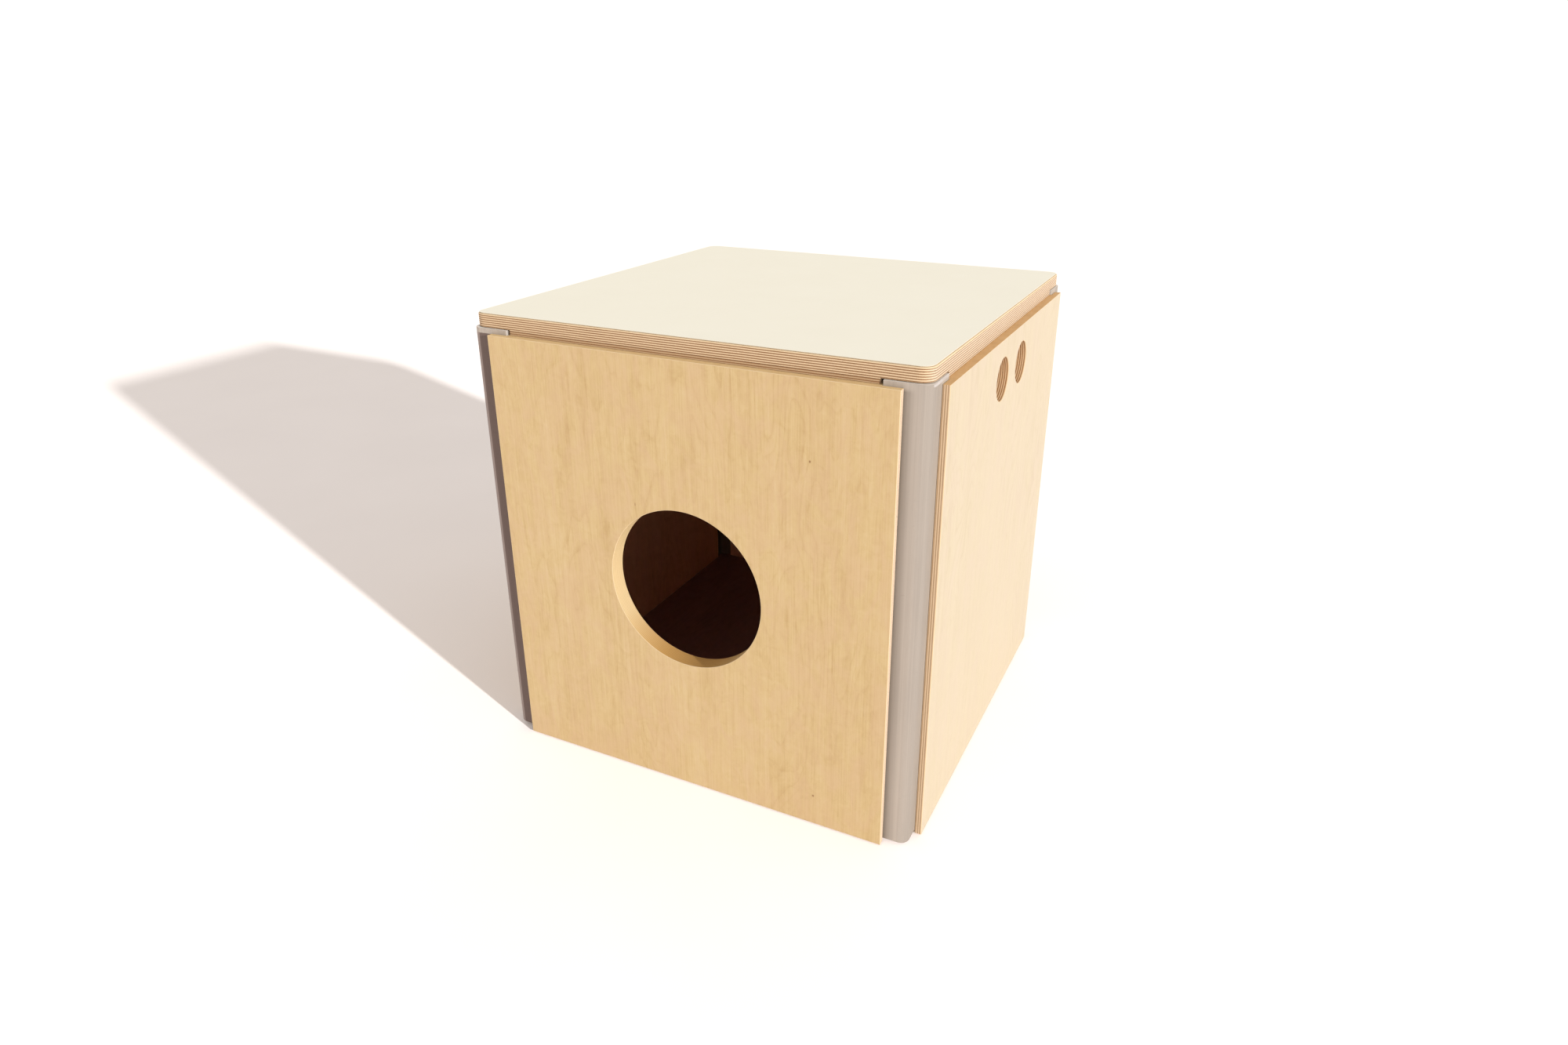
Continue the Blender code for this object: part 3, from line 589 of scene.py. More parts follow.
def metal(name, colour, roughness, seed):
    """Plated or drawn steel with fine scratches, haze and a little tarnish."""
    look = Look(name, Metallic=1.0)
    haze = look.noise(look.placed(EVEN, seed), 160.0, 4.0, 0.65)
    scratch = look.noise(look.placed(along_axis(Y, 0.06), seed + 1), 1600.0, 2.0, 0.6, 0.5)
    tarnish = look.noise(look.placed(EVEN, seed + 2), 320.0, 3.0, 0.7)
    tarnish = look.ramp(tarnish, (0.58, 0.0), (0.75, 1.0))
    shade = look.ramp(haze, (0.30, tuple(value * 0.86 for value in colour)), (0.70, colour))
    dull = tuple(value * 0.55 for value in colour)
    shade = look.mix(look.math("MULTIPLY", tarnish, 0.35), shade, dull)
    rough = look.total(roughness, (0.14, haze), (0.10, scratch), (0.12, tarnish))
    return look.finish(shade, rough, scratch, 0.00004)


# Tones of the woods, dark to light
BIRCH = ((0.405, 0.252, 0.096), (0.545, 0.394, 0.192), (0.622, 0.486, 0.288))
# BIRCH_SUNLIT_SIDE is a darker, greyer copy of BIRCH for the sunlit right panel: painted shade that offsets
# the sun there.
BIRCH_SUNLIT_SIDE = ((0.350, 0.274, 0.154), (0.474, 0.398, 0.274), (0.526, 0.466, 0.358))
# BIRCH_PAINTED_SHADE is a dark red copy of BIRCH for the bottom board: painted shade inside the box.
BIRCH_PAINTED_SHADE = ((0.200, 0.085, 0.065), (0.300, 0.145, 0.118), (0.370, 0.195, 0.160))
# BIRCH_INNER_BOUNCE is a warm copy of BIRCH for faces inside the box: painted bounce light, with painted
# shade towards the top.
BIRCH_INNER_BOUNCE = ((0.600, 0.240, 0.130), (0.880, 0.400, 0.220), (0.940, 0.480, 0.290))
TAPA_BROWN = ((0.270, 0.120, 0.042), (0.420, 0.225, 0.090), (0.520, 0.315, 0.145))
PINE = ((0.330, 0.180, 0.075), (0.560, 0.375, 0.190), (0.660, 0.480, 0.280))
BEECH = ((0.290, 0.140, 0.060), (0.470, 0.270, 0.130), (0.560, 0.350, 0.190))
BAND = ((0.470, 0.275, 0.110), (0.590, 0.362, 0.160), (0.650, 0.420, 0.210))
BAND_SEAT = ((0.560, 0.400, 0.235), (0.660, 0.500, 0.320), (0.720, 0.580, 0.400))
# BAND_FRONT_LIT is a lighter copy of BAND: painted light on the front panel's top edge, which lies in the
# seat's shade.
BAND_FRONT_LIT = ((0.560, 0.385, 0.180), (0.680, 0.490, 0.250), (0.740, 0.570, 0.330))
ARRIS = ((0.560, 0.420, 0.240), (0.650, 0.500, 0.300), (0.710, 0.580, 0.380))
SHEET_EDGE = ((0.420, 0.340, 0.240), (0.540, 0.450, 0.330), (0.620, 0.530, 0.410))

# Tones of the plies: long grain, end grain and glue
EDGE = ((0.680, 0.505, 0.330), (0.260, 0.130, 0.050), (0.085, 0.036, 0.014))
EDGE_FRONT = ((0.720, 0.570, 0.420), EDGE[1], EDGE[2])
# EDGE_GRIP_BOUNCE is a warmer copy of EDGE: painted bounce light on the grip holes' walls.
EDGE_GRIP_BOUNCE = ((0.800, 0.570, 0.340), (0.420, 0.175, 0.055), (0.090, 0.032, 0.010))
EDGE_HOLE = ((0.700, 0.525, 0.290), (0.630, 0.455, 0.235), (0.520, 0.350, 0.160))
# Painted sunlight: the seat's edges that face +X get a cooler tint.
SEAT_SUNLIT_TINT = ((1, 0, 0), (0.92, 0.98, 1.09))
# Painted bounce light: the sound hole's upward-facing wall turns golden.
HOLE_BOUNCE_TINT = (UP, (0.86, 0.66, 0.40))

# Tones of the metals
GREY_METAL = (0.432, 0.375, 0.323)
# GREY_PAINTED_SHADOW is painted shadow on the front left post's flat face beside the front panel.
GREY_PAINTED_SHADOW = (0.150, 0.105, 0.090)
# GREY_BEND_SHADED is painted shade on the front left post's rounded corner.
GREY_BEND_SHADED = (0.290, 0.228, 0.205)
# GREY_CROWN_HIGHLIGHT is a painted highlight on the front right post's +X face above the panels.
GREY_CROWN_HIGHLIGHT = (0.640, 0.590, 0.560)
# GREY_INSIDE_SHADED is painted shade with warm bounce light on the posts' inner faces.
GREY_INSIDE_SHADED = (0.300, 0.180, 0.110)
GREY_CUT = (0.700, 0.660, 0.620)
ZINC = (0.620, 0.605, 0.580)
SPRING = (0.700, 0.695, 0.680)

LOOKS = {
    "front_face": veneer("birch_front", Z, BIRCH, 1.0, specks=PIN_KNOTS),
    # The right panel's outer face: a copy of birch darkened as painted shade against the sun.
    "sunlit_side_face": veneer("birch_side", Z, BIRCH_SUNLIT_SIDE, 12.0, 0.55),
    "inner_face": veneer("birch_inner", Z, BIRCH, 23.0),
    # Faces inside the box: painted bounce light, darkened towards the top as painted shade.
    "inner_bounce_face": veneer("birch_inner_bounce", Z, BIRCH_INNER_BOUNCE, 27.0, 0.8, top_shade=0.55),
    "level_face": veneer("birch_level", Y, BIRCH, 31.0),
    "base_shaded_face": veneer("birch_base_shaded", Y, BIRCH_PAINTED_SHADE, 35.0),
    "edge_front": ply_edge("ply_edge_front", Y, -HALF, 1.0, EDGE_FRONT, 1.0, 2.0, sunlit_contrast=0.30),
    "edge_rear": ply_edge("ply_edge_rear", Y, HALF, -1.0, EDGE, 1.0, 4.0),
    "edge_right": ply_edge("ply_edge_right", X, HALF, -1.0, EDGE, 0.66, 6.0),
    "edge_left": ply_edge("ply_edge_left", X, -HALF, 1.0, EDGE, 1.0, 8.0),
    "edge_seat": ply_edge("ply_edge_seat", Z, SEAT[1].z, -1.0, EDGE, 1.0, 10.0, 13.0, SEAT_SUNLIT_TINT),
    "edge_base": ply_edge("ply_edge_base", Z, BASE[1].z, -1.0, EDGE, 0.8, 14.0),
    "grip_right": ply_edge("ply_grip_right", X, HALF, -1.0, EDGE_GRIP_BOUNCE, 1.0, 16.0),
    "grip_left": ply_edge("ply_grip_left", X, -HALF, 1.0, EDGE_GRIP_BOUNCE, 1.0, 18.0),
    "band": plain_edge("sealed_edge", BAND, 3.0),
    "band_seat": plain_edge("eased_seat", BAND_SEAT, 5.0),
    "band_front_lit": plain_edge("sealed_front_lit", BAND_FRONT_LIT, 4.0),
    "hole_wall": ply_edge("ply_bored", Y, -HALF, 1.0, EDGE_HOLE, 0.7, 6.0, tint=HOLE_BOUNCE_TINT),
    "arris": plain_edge("sanded_arris", ARRIS, 9.0),
    "laminate": laminate("pale_laminate"),
    "laminate_edge": plain_edge("laminate_edge", SHEET_EDGE, 11.0),
    "aluminium": anodised("anodised_aluminium", GREY_METAL, 1.0, panel_shade_and_highlight=True),
    "aluminium_painted_shadow": anodised("anodised_painted_shadow", GREY_PAINTED_SHADOW, 1.0),
    "aluminium_bend_shaded": anodised("anodised_bend_shaded", GREY_BEND_SHADED, 1.0),
    "aluminium_crown_highlight": anodised("anodised_crown_highlight", GREY_CROWN_HIGHLIGHT, 5.0),
    "aluminium_inside_shaded": anodised("anodised_inside_shaded", GREY_INSIDE_SHADED, 3.0),
    "aluminium_cut": anodised("cut_aluminium", GREY_CUT, 2.0, cut_end=True),
    "pine": batten("pine_batten", PINE, 3.0, X),
    "pine_side": batten("pine_batten_side", PINE, 5.0, Y),
    "tapa": veneer("tapa_veneer", Z, TAPA_BROWN, 41.0, 1.25),
    "rubber": rubber("black_rubber"),
    "zinc": metal("zinc_steel", ZINC, 0.22, 1.0),
    "spring": metal("spring_steel", SPRING, 0.16, 4.0),
    "beech": batten("beech", BEECH, 7.0, X, 45.0),
}


def chosen(*names):
    return [LOOKS[name] for name in names]


# Panels, posts and the rear frame

def grooved(near_side, outer_face):
    """Plan of a board at the front: both side edges, or only the far one, hold a post's flange."""
    outer = -outer_face
    groove_outer = -POST_FACE - GAP
    groove_inner = -POST_FACE + POST_WALL + GAP
    right_edge = [
        (PANEL_HALF, outer),
        (PANEL_HALF, groove_outer),
        (GROOVE_END, groove_outer),
        (GROOVE_END, groove_inner),
        (PANEL_HALF, groove_inner),
        (PANEL_HALF, -INNER_FACE),
    ]
    if near_side is None:
        return right_edge + [(-x, y) for x, y in reversed(right_edge)]
    return [(near_side, outer)] + right_edge + [(near_side, -INNER_FACE)]


def dado():
    """The groove across a panel's inner face for the bottom board."""
    low = (-HALF, -INNER_FACE - DADO_DEPTH, BASE[0].z - GAP)
    return block(low, (HALF, -INNER_FACE + CUT_MARGIN, BASE[1].z + GAP))


def drill(radius, depth, place, direction, segments=28):
    maker = lathe([(radius, -CUT_MARGIN), (radius, depth)], segments)
    return aimed(maker, place, direction)


def board_hole(x, z, radius, segments):
    return drill(radius, BOARD + CUT_MARGIN, (x, -HALF, z), (0, 1, 0), segments)


def board_picker(holes=()):
    """Sorts a board's faces: outer veneer, bored walls, ply edges, sealed top, arrises, inner veneer."""
    def pick(centre, normal):
        outer, bored, edge, sealed, arris, inner = range(6)
        for x, z, radius in holes:
            if abs(normal.y) < 0.3 and hypot(centre.x - x, centre.z - z) < radius + GAP:
                return bored
        if abs(normal.y) > 0.95:
            return inner if normal.y > 0 else outer
        if abs(normal.y) > 0.2:
            return arris
        at_top = abs(normal.z) > 0.9 and centre.z > PANEL_TOP - 0.001
        return sealed if at_top else edge
    return pick


def make_panels():
    centre = (PANEL_LOW + PANEL_TOP) / 2
    cuts = [dado(), board_hole(0.0, centre, SOUND_HOLE_RADIUS, 160)]
    looks = chosen("front_face", "hole_wall", "edge_front", "band_front_lit", "arris", "inner_face")
    pick = board_picker([(0.0, centre, SOUND_HOLE_RADIUS)])
    outline = grooved(None, HALF)
    maker = prism(outline, PANEL_LOW, PANEL_TOP)
    finished("front_panel", maker, looks, cuts=cuts, pick=pick)
    height = PANEL_TOP - GRIP_HOLE_BELOW_TOP
    grips = [(x, height, GRIP_HOLE_RADIUS) for x in (-GRIP_HOLE_SPACING / 2, GRIP_HOLE_SPACING / 2)]
    for name, quarter, face, edge, grip, inside in (
        ("right_panel", RIGHT, "sunlit_side_face", "edge_right", "grip_right", "inner_face"),
        ("left_panel", LEFT, "inner_face", "edge_left", "grip_left", "inner_bounce_face"),
    ):
        cuts = [dado()] + [board_hole(x, z, radius, 72) for x, z, radius in grips]
        looks = chosen(face, grip, edge, "band", "arris", inside)
        maker = prism(outline, PANEL_LOW, PANEL_TOP)
        pick = board_picker(grips)
        finished(name, maker, looks, quarter=quarter, cuts=cuts, pick=pick)


def make_rear_frame():
    pick = board_picker()
    looks = chosen("inner_face", "edge_rear", "edge_rear", "band", "arris", "inner_bounce_face")
    outer_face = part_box("rear_stile_left")[1].y
    window_half = -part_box("rear_stile_left")[1].x
    outline = grooved(window_half, outer_face)
    mirrored = [(-x, y) for x, y in reversed(outline)]
    for node, plan in (("rear_stile_left", outline), ("rear_stile_right", mirrored)):
        maker = prism(plan, PANEL_LOW, PANEL_TOP)
        finished(node, maker, looks, quarter=REAR, cuts=[dado()], pick=pick)
    for node in ("rear_rail_top", "rear_rail_bottom"):
        low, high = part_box(node)
        maker = block((low.x, -high.y, low.z), (high.x, -INNER_FACE, high.z))
        cuts = [dado()] if node == "rear_rail_bottom" else []
        finished(node, maker, looks, quarter=REAR, cuts=cuts, pick=pick)


def make_posts():
    """Four extrusions, with painted shadow and shade on the front left one and a painted highlight on the
    front right one.
    """
    inner = POST_FACE - POST_WALL
    bend = POST_FACE - POST_CORNER_RADIUS
    outline = [(FLANGE_END, -POST_FACE)]
    outline += arc((bend, -bend), POST_CORNER_RADIUS, -90, 0, 24)
    outline += [(POST_FACE, -FLANGE_END), (inner, -FLANGE_END)]
    outline += arc((bend, -bend), POST_CORNER_RADIUS - POST_WALL, 0, -90, 16)
    outline += [(FLANGE_END, -inner)]

    def pick(centre, normal):
        plain, cut, flat, bent, inside, crown = range(6)
        above = centre.z > PANEL_TOP
        at_end = centre.x < FLANGE_END + 0.001 or centre.y > -FLANGE_END - 0.001
        if abs(normal.z) > 0.9 or (above and at_end):
            return cut
        if above:
            # Above the panels, the front right post's +X face takes a painted highlight.
            return crown if normal.x > 0.9 and centre.z > PANEL_TOP + CROWN_START else plain
        # Inner faces of the posts take a painted shade.
        if normal.x < -0.3 or normal.y > 0.3:
            return inside
        # On the front left post this flat face beside the panel takes a painted shadow.
        if normal.x > 0.995 and centre.x > inner and centre.z < PANEL_TOP:
            return flat
        # On the front left post the rounded corner takes a painted shade.
        return bent if normal.x > 0.4 else plain

    levels = (POST[0].z, PANEL_TOP - 0.0005, PANEL_TOP + CROWN_START, POST[1].z)
    for quarter, corner in enumerate(CORNERS):
        maker = bmesh.new()
        stacked(maker, [[(x, y, z) for x, y in outline] for z in levels])
        flat = bent = crown = "aluminium"
        # Painted shadow on the flat face and painted shade on the bend of the front left post.
        if corner == "front_left":
            flat, bent = "aluminium_painted_shadow", "aluminium_bend_shaded"
        # Painted highlight on the front right post's +X face above the panels.
        if corner == "front_right":
            crown = "aluminium_crown_highlight"
        looks = chosen("aluminium", "aluminium_cut", flat, bent, "aluminium_inside_shaded", crown)
        node = "corner_post_" + corner
        finished(node, maker, looks, quarter=quarter, ease=POST_EASE, pick=pick)


# Seat, cleats, bottom board and feet

def make_seat():
    """The seat board with its notches over the posts, and the laminate sheet on it."""
    half = SEAT[1].x
    low, top = SEAT[0].z, SEAT[1].z
    steps, corner_steps = 6, 14
    under_edge = 0.0004
    levels = [(under_edge, low), (0.0, low + under_edge)]
    for i in range(steps + 1):
        angle = i / steps * pi / 2
        levels.append((SEAT_EDGE_RADIUS * (1 - cos(angle)), top - SEAT_EDGE_RADIUS * (1 - sin(angle))))
    maker = bmesh.new()
    rings = []
    for inset, height in levels:
        reach = half - inset
        radius = SEAT_CORNER_RADIUS - inset
        outline = rounded_box((-reach, -reach), (reach, reach), radius, corner_steps)
        rings.append([(x, y, height) for x, y in outline])
    stacked(maker, rings)
    cuts = []
    for sx, sy in ((1, -1), (1, 1), (-1, 1), (-1, -1)):
        xs = sorted((sx * (half - SEAT_NOTCH), sx * (half + CUT_MARGIN)))
        ys = sorted((sy * (half - SEAT_NOTCH), sy * (half + CUT_MARGIN)))
        notch_low = (xs[0], ys[0], low - CUT_MARGIN)
        cuts.append(block(notch_low, (xs[1], ys[1], low + SEAT_NOTCH_HEIGHT)))

    def pick(centre, normal):
        level, edge, eased = range(3)
        if abs(normal.z) > 0.97:
            return level
        return eased if centre.z > top - SEAT_EDGE_RADIUS else edge

    looks = chosen("level_face", "edge_seat", "band_seat")
    finished("top_board", maker, looks, cuts=cuts, ease=0, pick=pick)

    low, high = TOP_SHEET
    radius = SEAT_CORNER_RADIUS - SEAT_EDGE_RADIUS
    eased = 0.00025
    rings = []
    for inset, drop in ((0.0, high.z - low.z), (0.0, eased), (eased * 0.3, eased * 0.3), (eased, 0.0)):
        corners = (low.x + inset, low.y + inset), (high.x - inset, high.y - inset)
        outline = rounded_box(*corners, radius - inset, corner_steps)
        rings.append([(x, y, high.z - drop) for x, y in outline])
    maker = bmesh.new()
    stacked(maker, rings)

    def pick_sheet(centre, normal):
        return 0 if normal.z > 0.5 else 1

    looks = chosen("laminate", "laminate_edge")
    finished("seat_laminate", maker, looks, ease=0, pick=pick_sheet)


def make_cleats():
    for place in ("front", "rear", "right_front", "right_rear", "left_front", "left_rear"):
        node = "cleat_" + place
        look = "pine_side" if "_" in place else "pine"
        finished(node, block(*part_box(node)), chosen(look), ease=CLEAT_EASE)


def make_bottom():
    low, high = BASE
    outline = rounded_box((low.x, low.y), (high.x, high.y), POST_CORNER_RADIUS, 10)

    def pick(centre, normal):
        return 0 if abs(normal.z) > 0.9 else 1

    maker = prism(outline, low.z, high.z)
    looks = chosen("base_shaded_face", "edge_base")
    finished("bottom_board", maker, looks, ease=BASE_EASE, pick=pick)


def make_feet():
    """Moulded rubber feet: ribbed sides, a rounded tread edge and a deep screw recess."""
    for corner in CORNERS:
        low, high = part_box("foot_" + corner)
        radius = (high.x - low.x) / 2
        top = high.z
        profile = [(radius - 0.0016, 0.0), (radius - 0.0008, 0.0003), (radius, 0.0012)]
        for base in (0.0018, 0.0036):
            for sunk, rise in ((0.0, 0.0), (0.0005, 0.0004), (0.0005, 0.0008), (0.0, 0.0012)):
                profile.append((radius - sunk, base + rise))
        profile = [point for point in profile if point[1] < top - 0.0006] + [(radius - 0.0004, top)]
        recess = lathe([(0.0055, -CUT_MARGIN), (0.0055, 0.0030), (0.0050, 0.0034)], 40)
        bore = lathe([(0.0023, 0.0), (0.0023, top + CUT_MARGIN)], 24)
        maker = lathe(profile, 56)
        for shape in (recess, bore, maker):
            aimed(shape, (*middle(low, high)[:2], 0.0), UP)
        finished("foot_" + corner, maker, chosen("rubber"), cuts=[recess, bore], ease=0)


# Screws

def cross_recess(width, thickness, depth):
    """A tapered cross that points along +Z from height 0."""
    rings = []
    for scale, height in ((1.0, -0.002), (1.0, 0.0), (0.45, depth)):
        w, t = width / 2 * scale, thickness / 2 * max(scale, 0.7)
        arm = ((w, -t), (w, t), (t, t))
        ring = []
        for _ in range(4):
            ring += [(x, y, height) for x, y in arm]
            arm = [(-y, x) for x, y in arm]
        rings.append(ring)
    maker = bmesh.new()
    stacked(maker, rings)
    return maker


def make_screw(node, size, direction, body="box", socket=False):
    """A pan-head screw that points along a direction, with a cross recess or a hex socket."""
    head_radius, head_height, shank_radius, length = size
    profile = [(head_radius * 0.30, -head_height)]
    for i in range(7):
        angle = i / 6 * pi / 2
        radius = head_radius * sin(angle * 0.95 + 0.08)
        if radius > head_radius * 0.32:
            profile.append((radius, -head_height * (0.15 + 0.85 * cos(angle))))
    profile += [(head_radius, 0.0), (shank_radius, 0.0)]
    profile += [(shank_radius, length - 2 * shank_radius), (shank_radius * 0.25, length)]
    maker = lathe(profile, 32)
    if socket:
        tool = lathe([(0.0022, -0.002), (0.0022, 0.0016)], 6)
    else:
        tool = cross_recess(head_radius * 1.15, head_radius * 0.26, head_height * 0.75)
    tool.transform(Matrix.Translation((0, 0, -head_height)))
    low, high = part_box(node)
    half_length = (high - low).dot(Vector(direction)) / 2
    place = Vector(middle(low, high)) + Vector(direction) * (head_height - abs(half_length))
    for shape in (maker, tool):
        aimed(shape, place, direction)
    finished(node, maker, chosen("zinc"), body=body, cuts=[tool], ease=0)


def make_screws():
    for number in range(1, 9):
        make_screw(f"cleat_screw_{number}", CLEAT_SCREW, UP)
    for corner in CORNERS:
        make_screw("foot_screw_" + corner, FOOT_SCREW, UP)
    for word, inward in (("left", (1, 0, 0)), ("right", (-1, 0, 0))):
        make_screw("snare_bracket_screw_" + word, BRACKET_SCREW, (0, 1, 0))
        make_screw("snare_bolt_" + word, PIVOT_BOLT, inward, body="snare", socket=True)


def make_tapa():
    """The thin playing plate with rounded corners, and its twelve countersunk screws."""
    low, high = TAPA
    maker = bmesh.new()
    thickness, eased = high.y - low.y, 0.0006
    rings = []
    for inset, depth in ((eased, 0.0), (0.0, eased), (0.0, thickness - eased), (eased, thickness)):
        corners = (low.x + inset, low.z + inset), (high.x - inset, high.z - inset)
        outline = rounded_box(*corners, PLATE_CORNER - inset, 6)
        rings.append([(x, high.y - depth, z) for x, z in outline])
    stacked(maker, rings)
    bmesh.ops.recalc_face_normals(maker, faces=maker.faces)
    cones = []
    for number in range(1, 13):
        node = f"tapa_screw_{number}"
        x, _, z = middle(*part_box(node))
        cone, screw = lathe(COUNTERSINK, 28), lathe(TAPA_SCREW, 28)
        recess = cross_recess(*TAPA_SCREW_CROSS)
        for shape in (cone, screw, recess):
            aimed(shape, (x, high.y, z), (0, -1, 0))
        cones.append(cone)
        finished(node, screw, chosen("zinc"), cuts=[recess], ease=0)

    def pick(centre, normal):
        return 0 if abs(normal.y) > 0.9 else 1

    looks = chosen("tapa", "edge_rear")
    finished("tapa", maker, looks, cuts=[merged(cones)], ease=0, pick=pick)


# Snare set

def make_snare_bar():
    """A beech bar with a kerf for each wire clip, a bolt hole in each end and the knob's hole."""
    low, high = BAR
    eased = 0.0008
    rings = []
    for x, inset in ((low.x, eased), (low.x + eased, 0.0), (high.x - eased, 0.0), (high.x, eased)):
        corners = (low.y + inset, low.z + inset), (high.y - inset, high.z - inset)
        section = rounded_box(*corners, PLATE_CORNER - inset, 6)
        rings.append([(x, y, z) for y, z in section])
    maker = bmesh.new()
    stacked(maker, rings)
    clip_y = PIVOT.y + CLIP_BEHIND_PIVOT
    cuts = []
    for side in ("left", "right"):
        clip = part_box("snare_wires_" + side)
        kerf_low = (clip[0].x - GAP, clip_y - CLIP_HALF - GAP, low.z - CUT_MARGIN)
        cuts.append(block(kerf_low, (clip[1].x + GAP, clip_y + CLIP_HALF + GAP, low.z + CLIP_DEPTH + GAP)))
    for end, inward in ((low.x, 1), (high.x, -1)):
        cuts.append(drill(BOLT_HOLE, PIVOT_BOLT[3], (end, PIVOT.y, PIVOT.z), (inward, 0, 0)))
    cuts.append(drill(0.0044, 0.0085, (0.0, low.y, PIVOT.z), (0, 1, 0), 32))
    finished("snare_bar", maker, chosen("beech"), body="snare", cuts=cuts, ease=0)


def make_lever():
    """A turned finger knob with two incised rings."""
    maker = aimed(lathe(KNOB, 48), PIVOT, (0, -1, 0))
    finished("snare_lever", maker, chosen("beech"), body="snare", ease=0)


def coil(path):
    """A helical wire wound along a path of points, as one tube."""
    path = [Vector(point) for point in path]
    lengths = [0.0]
    for first, second in zip(path, path[1:]):
        lengths.append(lengths[-1] + (second - first).length)
    total, per_turn, sides = lengths[-1], 7, 4
    count = ceil(total / COIL_PITCH * per_turn)
    centres = []
    for i in range(count + 1):
        reach = total * i / count
        leg = max(j for j in range(len(path) - 1) if lengths[j] <= reach)
        along = path[leg + 1] - path[leg]
        base = path[leg] + along * ((reach - lengths[leg]) / along.length)
        across = Vector((1, 0, 0))
        out = along.normalized().cross(across)
        angle = 2 * pi * i / per_turn
        centres.append(base + (across * cos(angle) + out * sin(angle)) * COIL_RADIUS)
    maker = bmesh.new()
    rings = []
    for i, centre in enumerate(centres):
        ahead = centres[min(i + 1, count)] - centres[max(i - 1, 0)]
        side = ahead.cross(Vector((0.2, 1.0, 0.1))).normalized()
        other = ahead.normalized().cross(side)
        turn = [2 * pi * k / sides for k in range(sides)]
        rings.append([centre + (side * cos(a) + other * sin(a)) * STRAND_RADIUS for a in turn])
    stacked(maker, rings)
    return maker


def make_wire_set(word):
    """A clip in the bar, coiled wires lying along the tapa, and their end plate."""
    bar_low = BAR[0].z
    low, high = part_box("snare_wires_" + word)
    clip_y = PIVOT.y + CLIP_BEHIND_PIVOT
    tapa_y = high.y - 0.0008
    clip_low = (low.x, clip_y - CLIP_HALF, bar_low - 0.006)
    clip = block(clip_low, (high.x, clip_y + CLIP_HALF, bar_low + CLIP_DEPTH))
    plate = rounded_box((low.x, bar_low - 0.148), (high.x, bar_low - 0.140), 0.0015, 4)
    end = bmesh.new()
    stacked(end, [[(x, tapa_y + depth, z) for x, z in reversed(plate)] for depth in (-CLIP_HALF, CLIP_HALF)])
    shapes = [clip, end]
    for i in range(WIRES_PER_SET):
        x = (low.x + high.x) / 2 + WIRE_SPACING * (i - (WIRES_PER_SET - 1) / 2)
        path = [
            (x, clip_y, bar_low - 0.004),
            (x, clip_y, bar_low - 0.008),
            (x, clip_y + 0.003, bar_low - 0.014),
            (x, tapa_y - 0.003, bar_low - 0.040),
            (x, tapa_y, bar_low - 0.047),
            (x, tapa_y, bar_low - 0.1515),
        ]
        shapes.append(coil(path))
    maker = merged(shapes)
    bmesh.ops.recalc_face_normals(maker, faces=maker.faces)
    finished("snare_wires_" + word, maker, chosen("spring"), body="snare", ease=0)


def make_brackets():
    """Folded steel plates with a rounded bend, rounded corners and their two holes."""
    for side, word in ((-1, "left"), (1, "right")):
        low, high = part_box("snare_bracket_" + word)
        near, far = (low.x, high.x) if side > 0 else (-high.x, -low.x)
        back, front = high.y, low.y
        ear, fold = near + BRACKET_PLATE, back - BRACKET_PLATE
        outline = [(near, front), (ear, front), (ear, fold - BRACKET_BEND)]
        outline += arc((ear + BRACKET_BEND, fold - BRACKET_BEND), BRACKET_BEND, 180, 90, 5)[1:]
        outline += [(far, fold), (far, back)]
        outline += arc((near + BRACKET_OUTER_BEND, back - BRACKET_OUTER_BEND), BRACKET_OUTER_BEND, 90, 180, 6)
        if side < 0:
            outline = [(-x, y) for x, y in reversed(outline)]
        maker = prism(outline, low.z, high.z)
        through = BRACKET_PLATE + CUT_MARGIN
        bolt = drill(BOLT_HOLE, through, (side * ear, PIVOT.y, PIVOT.z), (-side, 0, 0))
        hole = drill(0.0020, through, (side * (far - 0.010), fold, PIVOT.z), (0, 1, 0))
        node = "snare_bracket_" + word
        finished(node, maker, chosen("zinc"), cuts=[bolt, hole], ease=BRACKET_EASE)


# Floor, light and camera

def make_floor():
    maker = bmesh.new()
    sides = 96
    turn = [2 * pi * i / sides for i in range(sides)]
    maker.faces.new([maker.verts.new((FLOOR_RADIUS * cos(a), FLOOR_RADIUS * sin(a), 0.0)) for a in turn])
    floor = loose_object(maker, "studio_floor")
    look = Look("studio_floor", Specular_IOR_Level=0.0)
    grain = look.noise(look.placed(EVEN), 3.0, 3.0)
    colour = look.ramp(grain, (0.3, (0.875, 0.82, 0.80)), (0.7, (0.895, 0.84, 0.82)))
    floor.data.materials.append(look.finish(colour, look.total(0.88, (0.06, grain))))
    return floor


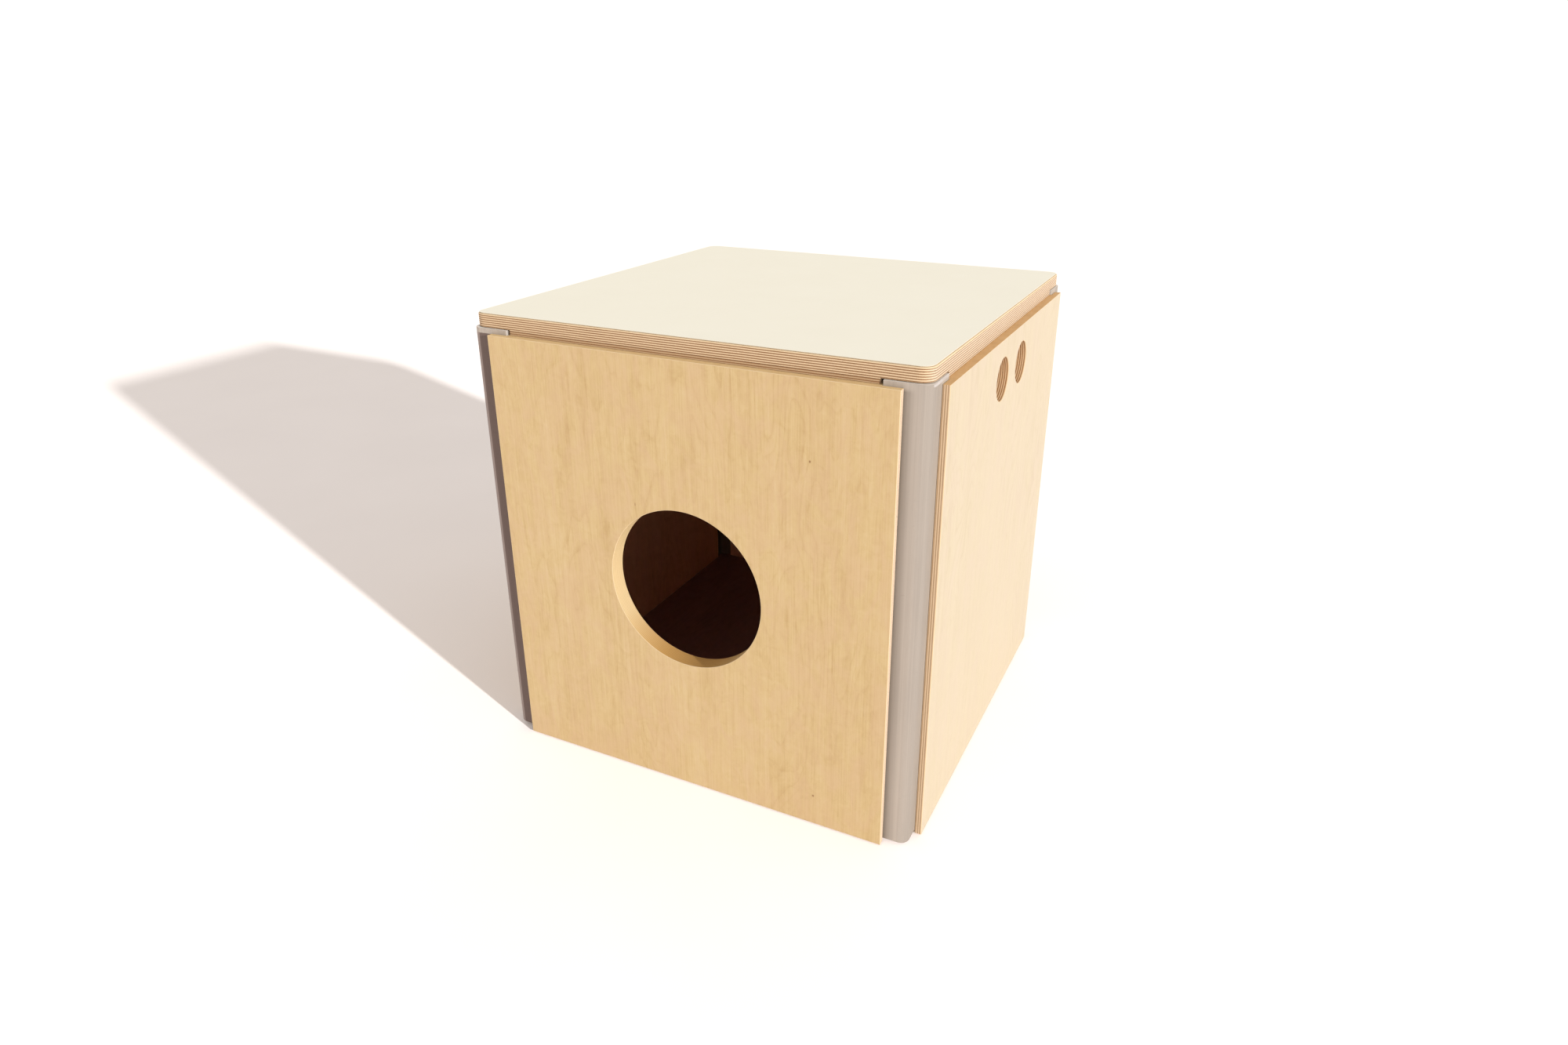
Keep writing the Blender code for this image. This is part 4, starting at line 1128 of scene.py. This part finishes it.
def make_sun(name, strength, colour, receivers=()):
    """A sun that lights everything, or only its receivers."""
    lamp = bpy.data.lights.new(name, "SUN")
    lamp.energy = strength
    lamp.color = colour
    lamp.angle = SUN_WIDTH
    item = bpy.data.objects.new(name, lamp)
    item.rotation_mode = "QUATERNION"
    item.rotation_quaternion = SUN_TRAVEL.to_track_quat("-Z", "Y")
    bpy.context.scene.collection.objects.link(item)
    if receivers:
        group = bpy.data.collections.new(name + "_receivers")
        for receiver in receivers:
            group.objects.link(receiver)
        item.light_linking.receiver_collection = group


def make_world():
    """A warm studio dome: bright round the horizon, softer overhead."""
    world = bpy.data.worlds.new("studio")
    world.use_nodes = True
    tree = world.node_tree
    place = tree.nodes.new("ShaderNodeTexCoord")
    split = tree.nodes.new("ShaderNodeSeparateXYZ")
    ramp = tree.nodes.new("ShaderNodeValToRGB")
    tree.links.new(place.outputs["Generated"], split.inputs[0])
    tree.links.new(split.outputs[2], ramp.inputs[0])
    tree.links.new(ramp.outputs[0], tree.nodes["Background"].inputs["Color"])
    low, high = ramp.color_ramp.elements
    low.position, low.color = 0.25, (1.10, 1.08, 1.05, 1.0)
    high.position, high.color = 0.60, (0.76, 0.725, 0.69, 1.0)
    bpy.context.scene.world = world


def make_camera():
    camera = bpy.data.objects.new("camera", bpy.data.cameras.new("camera"))
    camera.location = CAMERA_PLACE
    camera.rotation_euler = (pi / 2 - CAMERA_DOWN, 0.0, CAMERA_TURN)
    camera.data.lens = CAMERA_LENS
    camera.data.sensor_width = CAMERA_SENSOR
    camera.data.shift_x, camera.data.shift_y = CAMERA_SHIFT
    bpy.context.scene.collection.objects.link(camera)
    bpy.context.scene.camera = camera


make_panels()
make_rear_frame()
make_posts()
make_seat()
make_cleats()
make_bottom()
make_feet()
make_screws()
make_tapa()
make_snare_bar()
make_lever()
make_wire_set("left")
make_wire_set("right")
make_brackets()

FLOOR = make_floor()
make_world()
make_sun("sun", 3.1, (1.0, 0.98, 0.95))
make_sun("floor_sun", 4.5, (0.98, 0.99, 1.0), [FLOOR])
make_camera()
bpy.context.scene.view_settings.view_transform = "Standard"
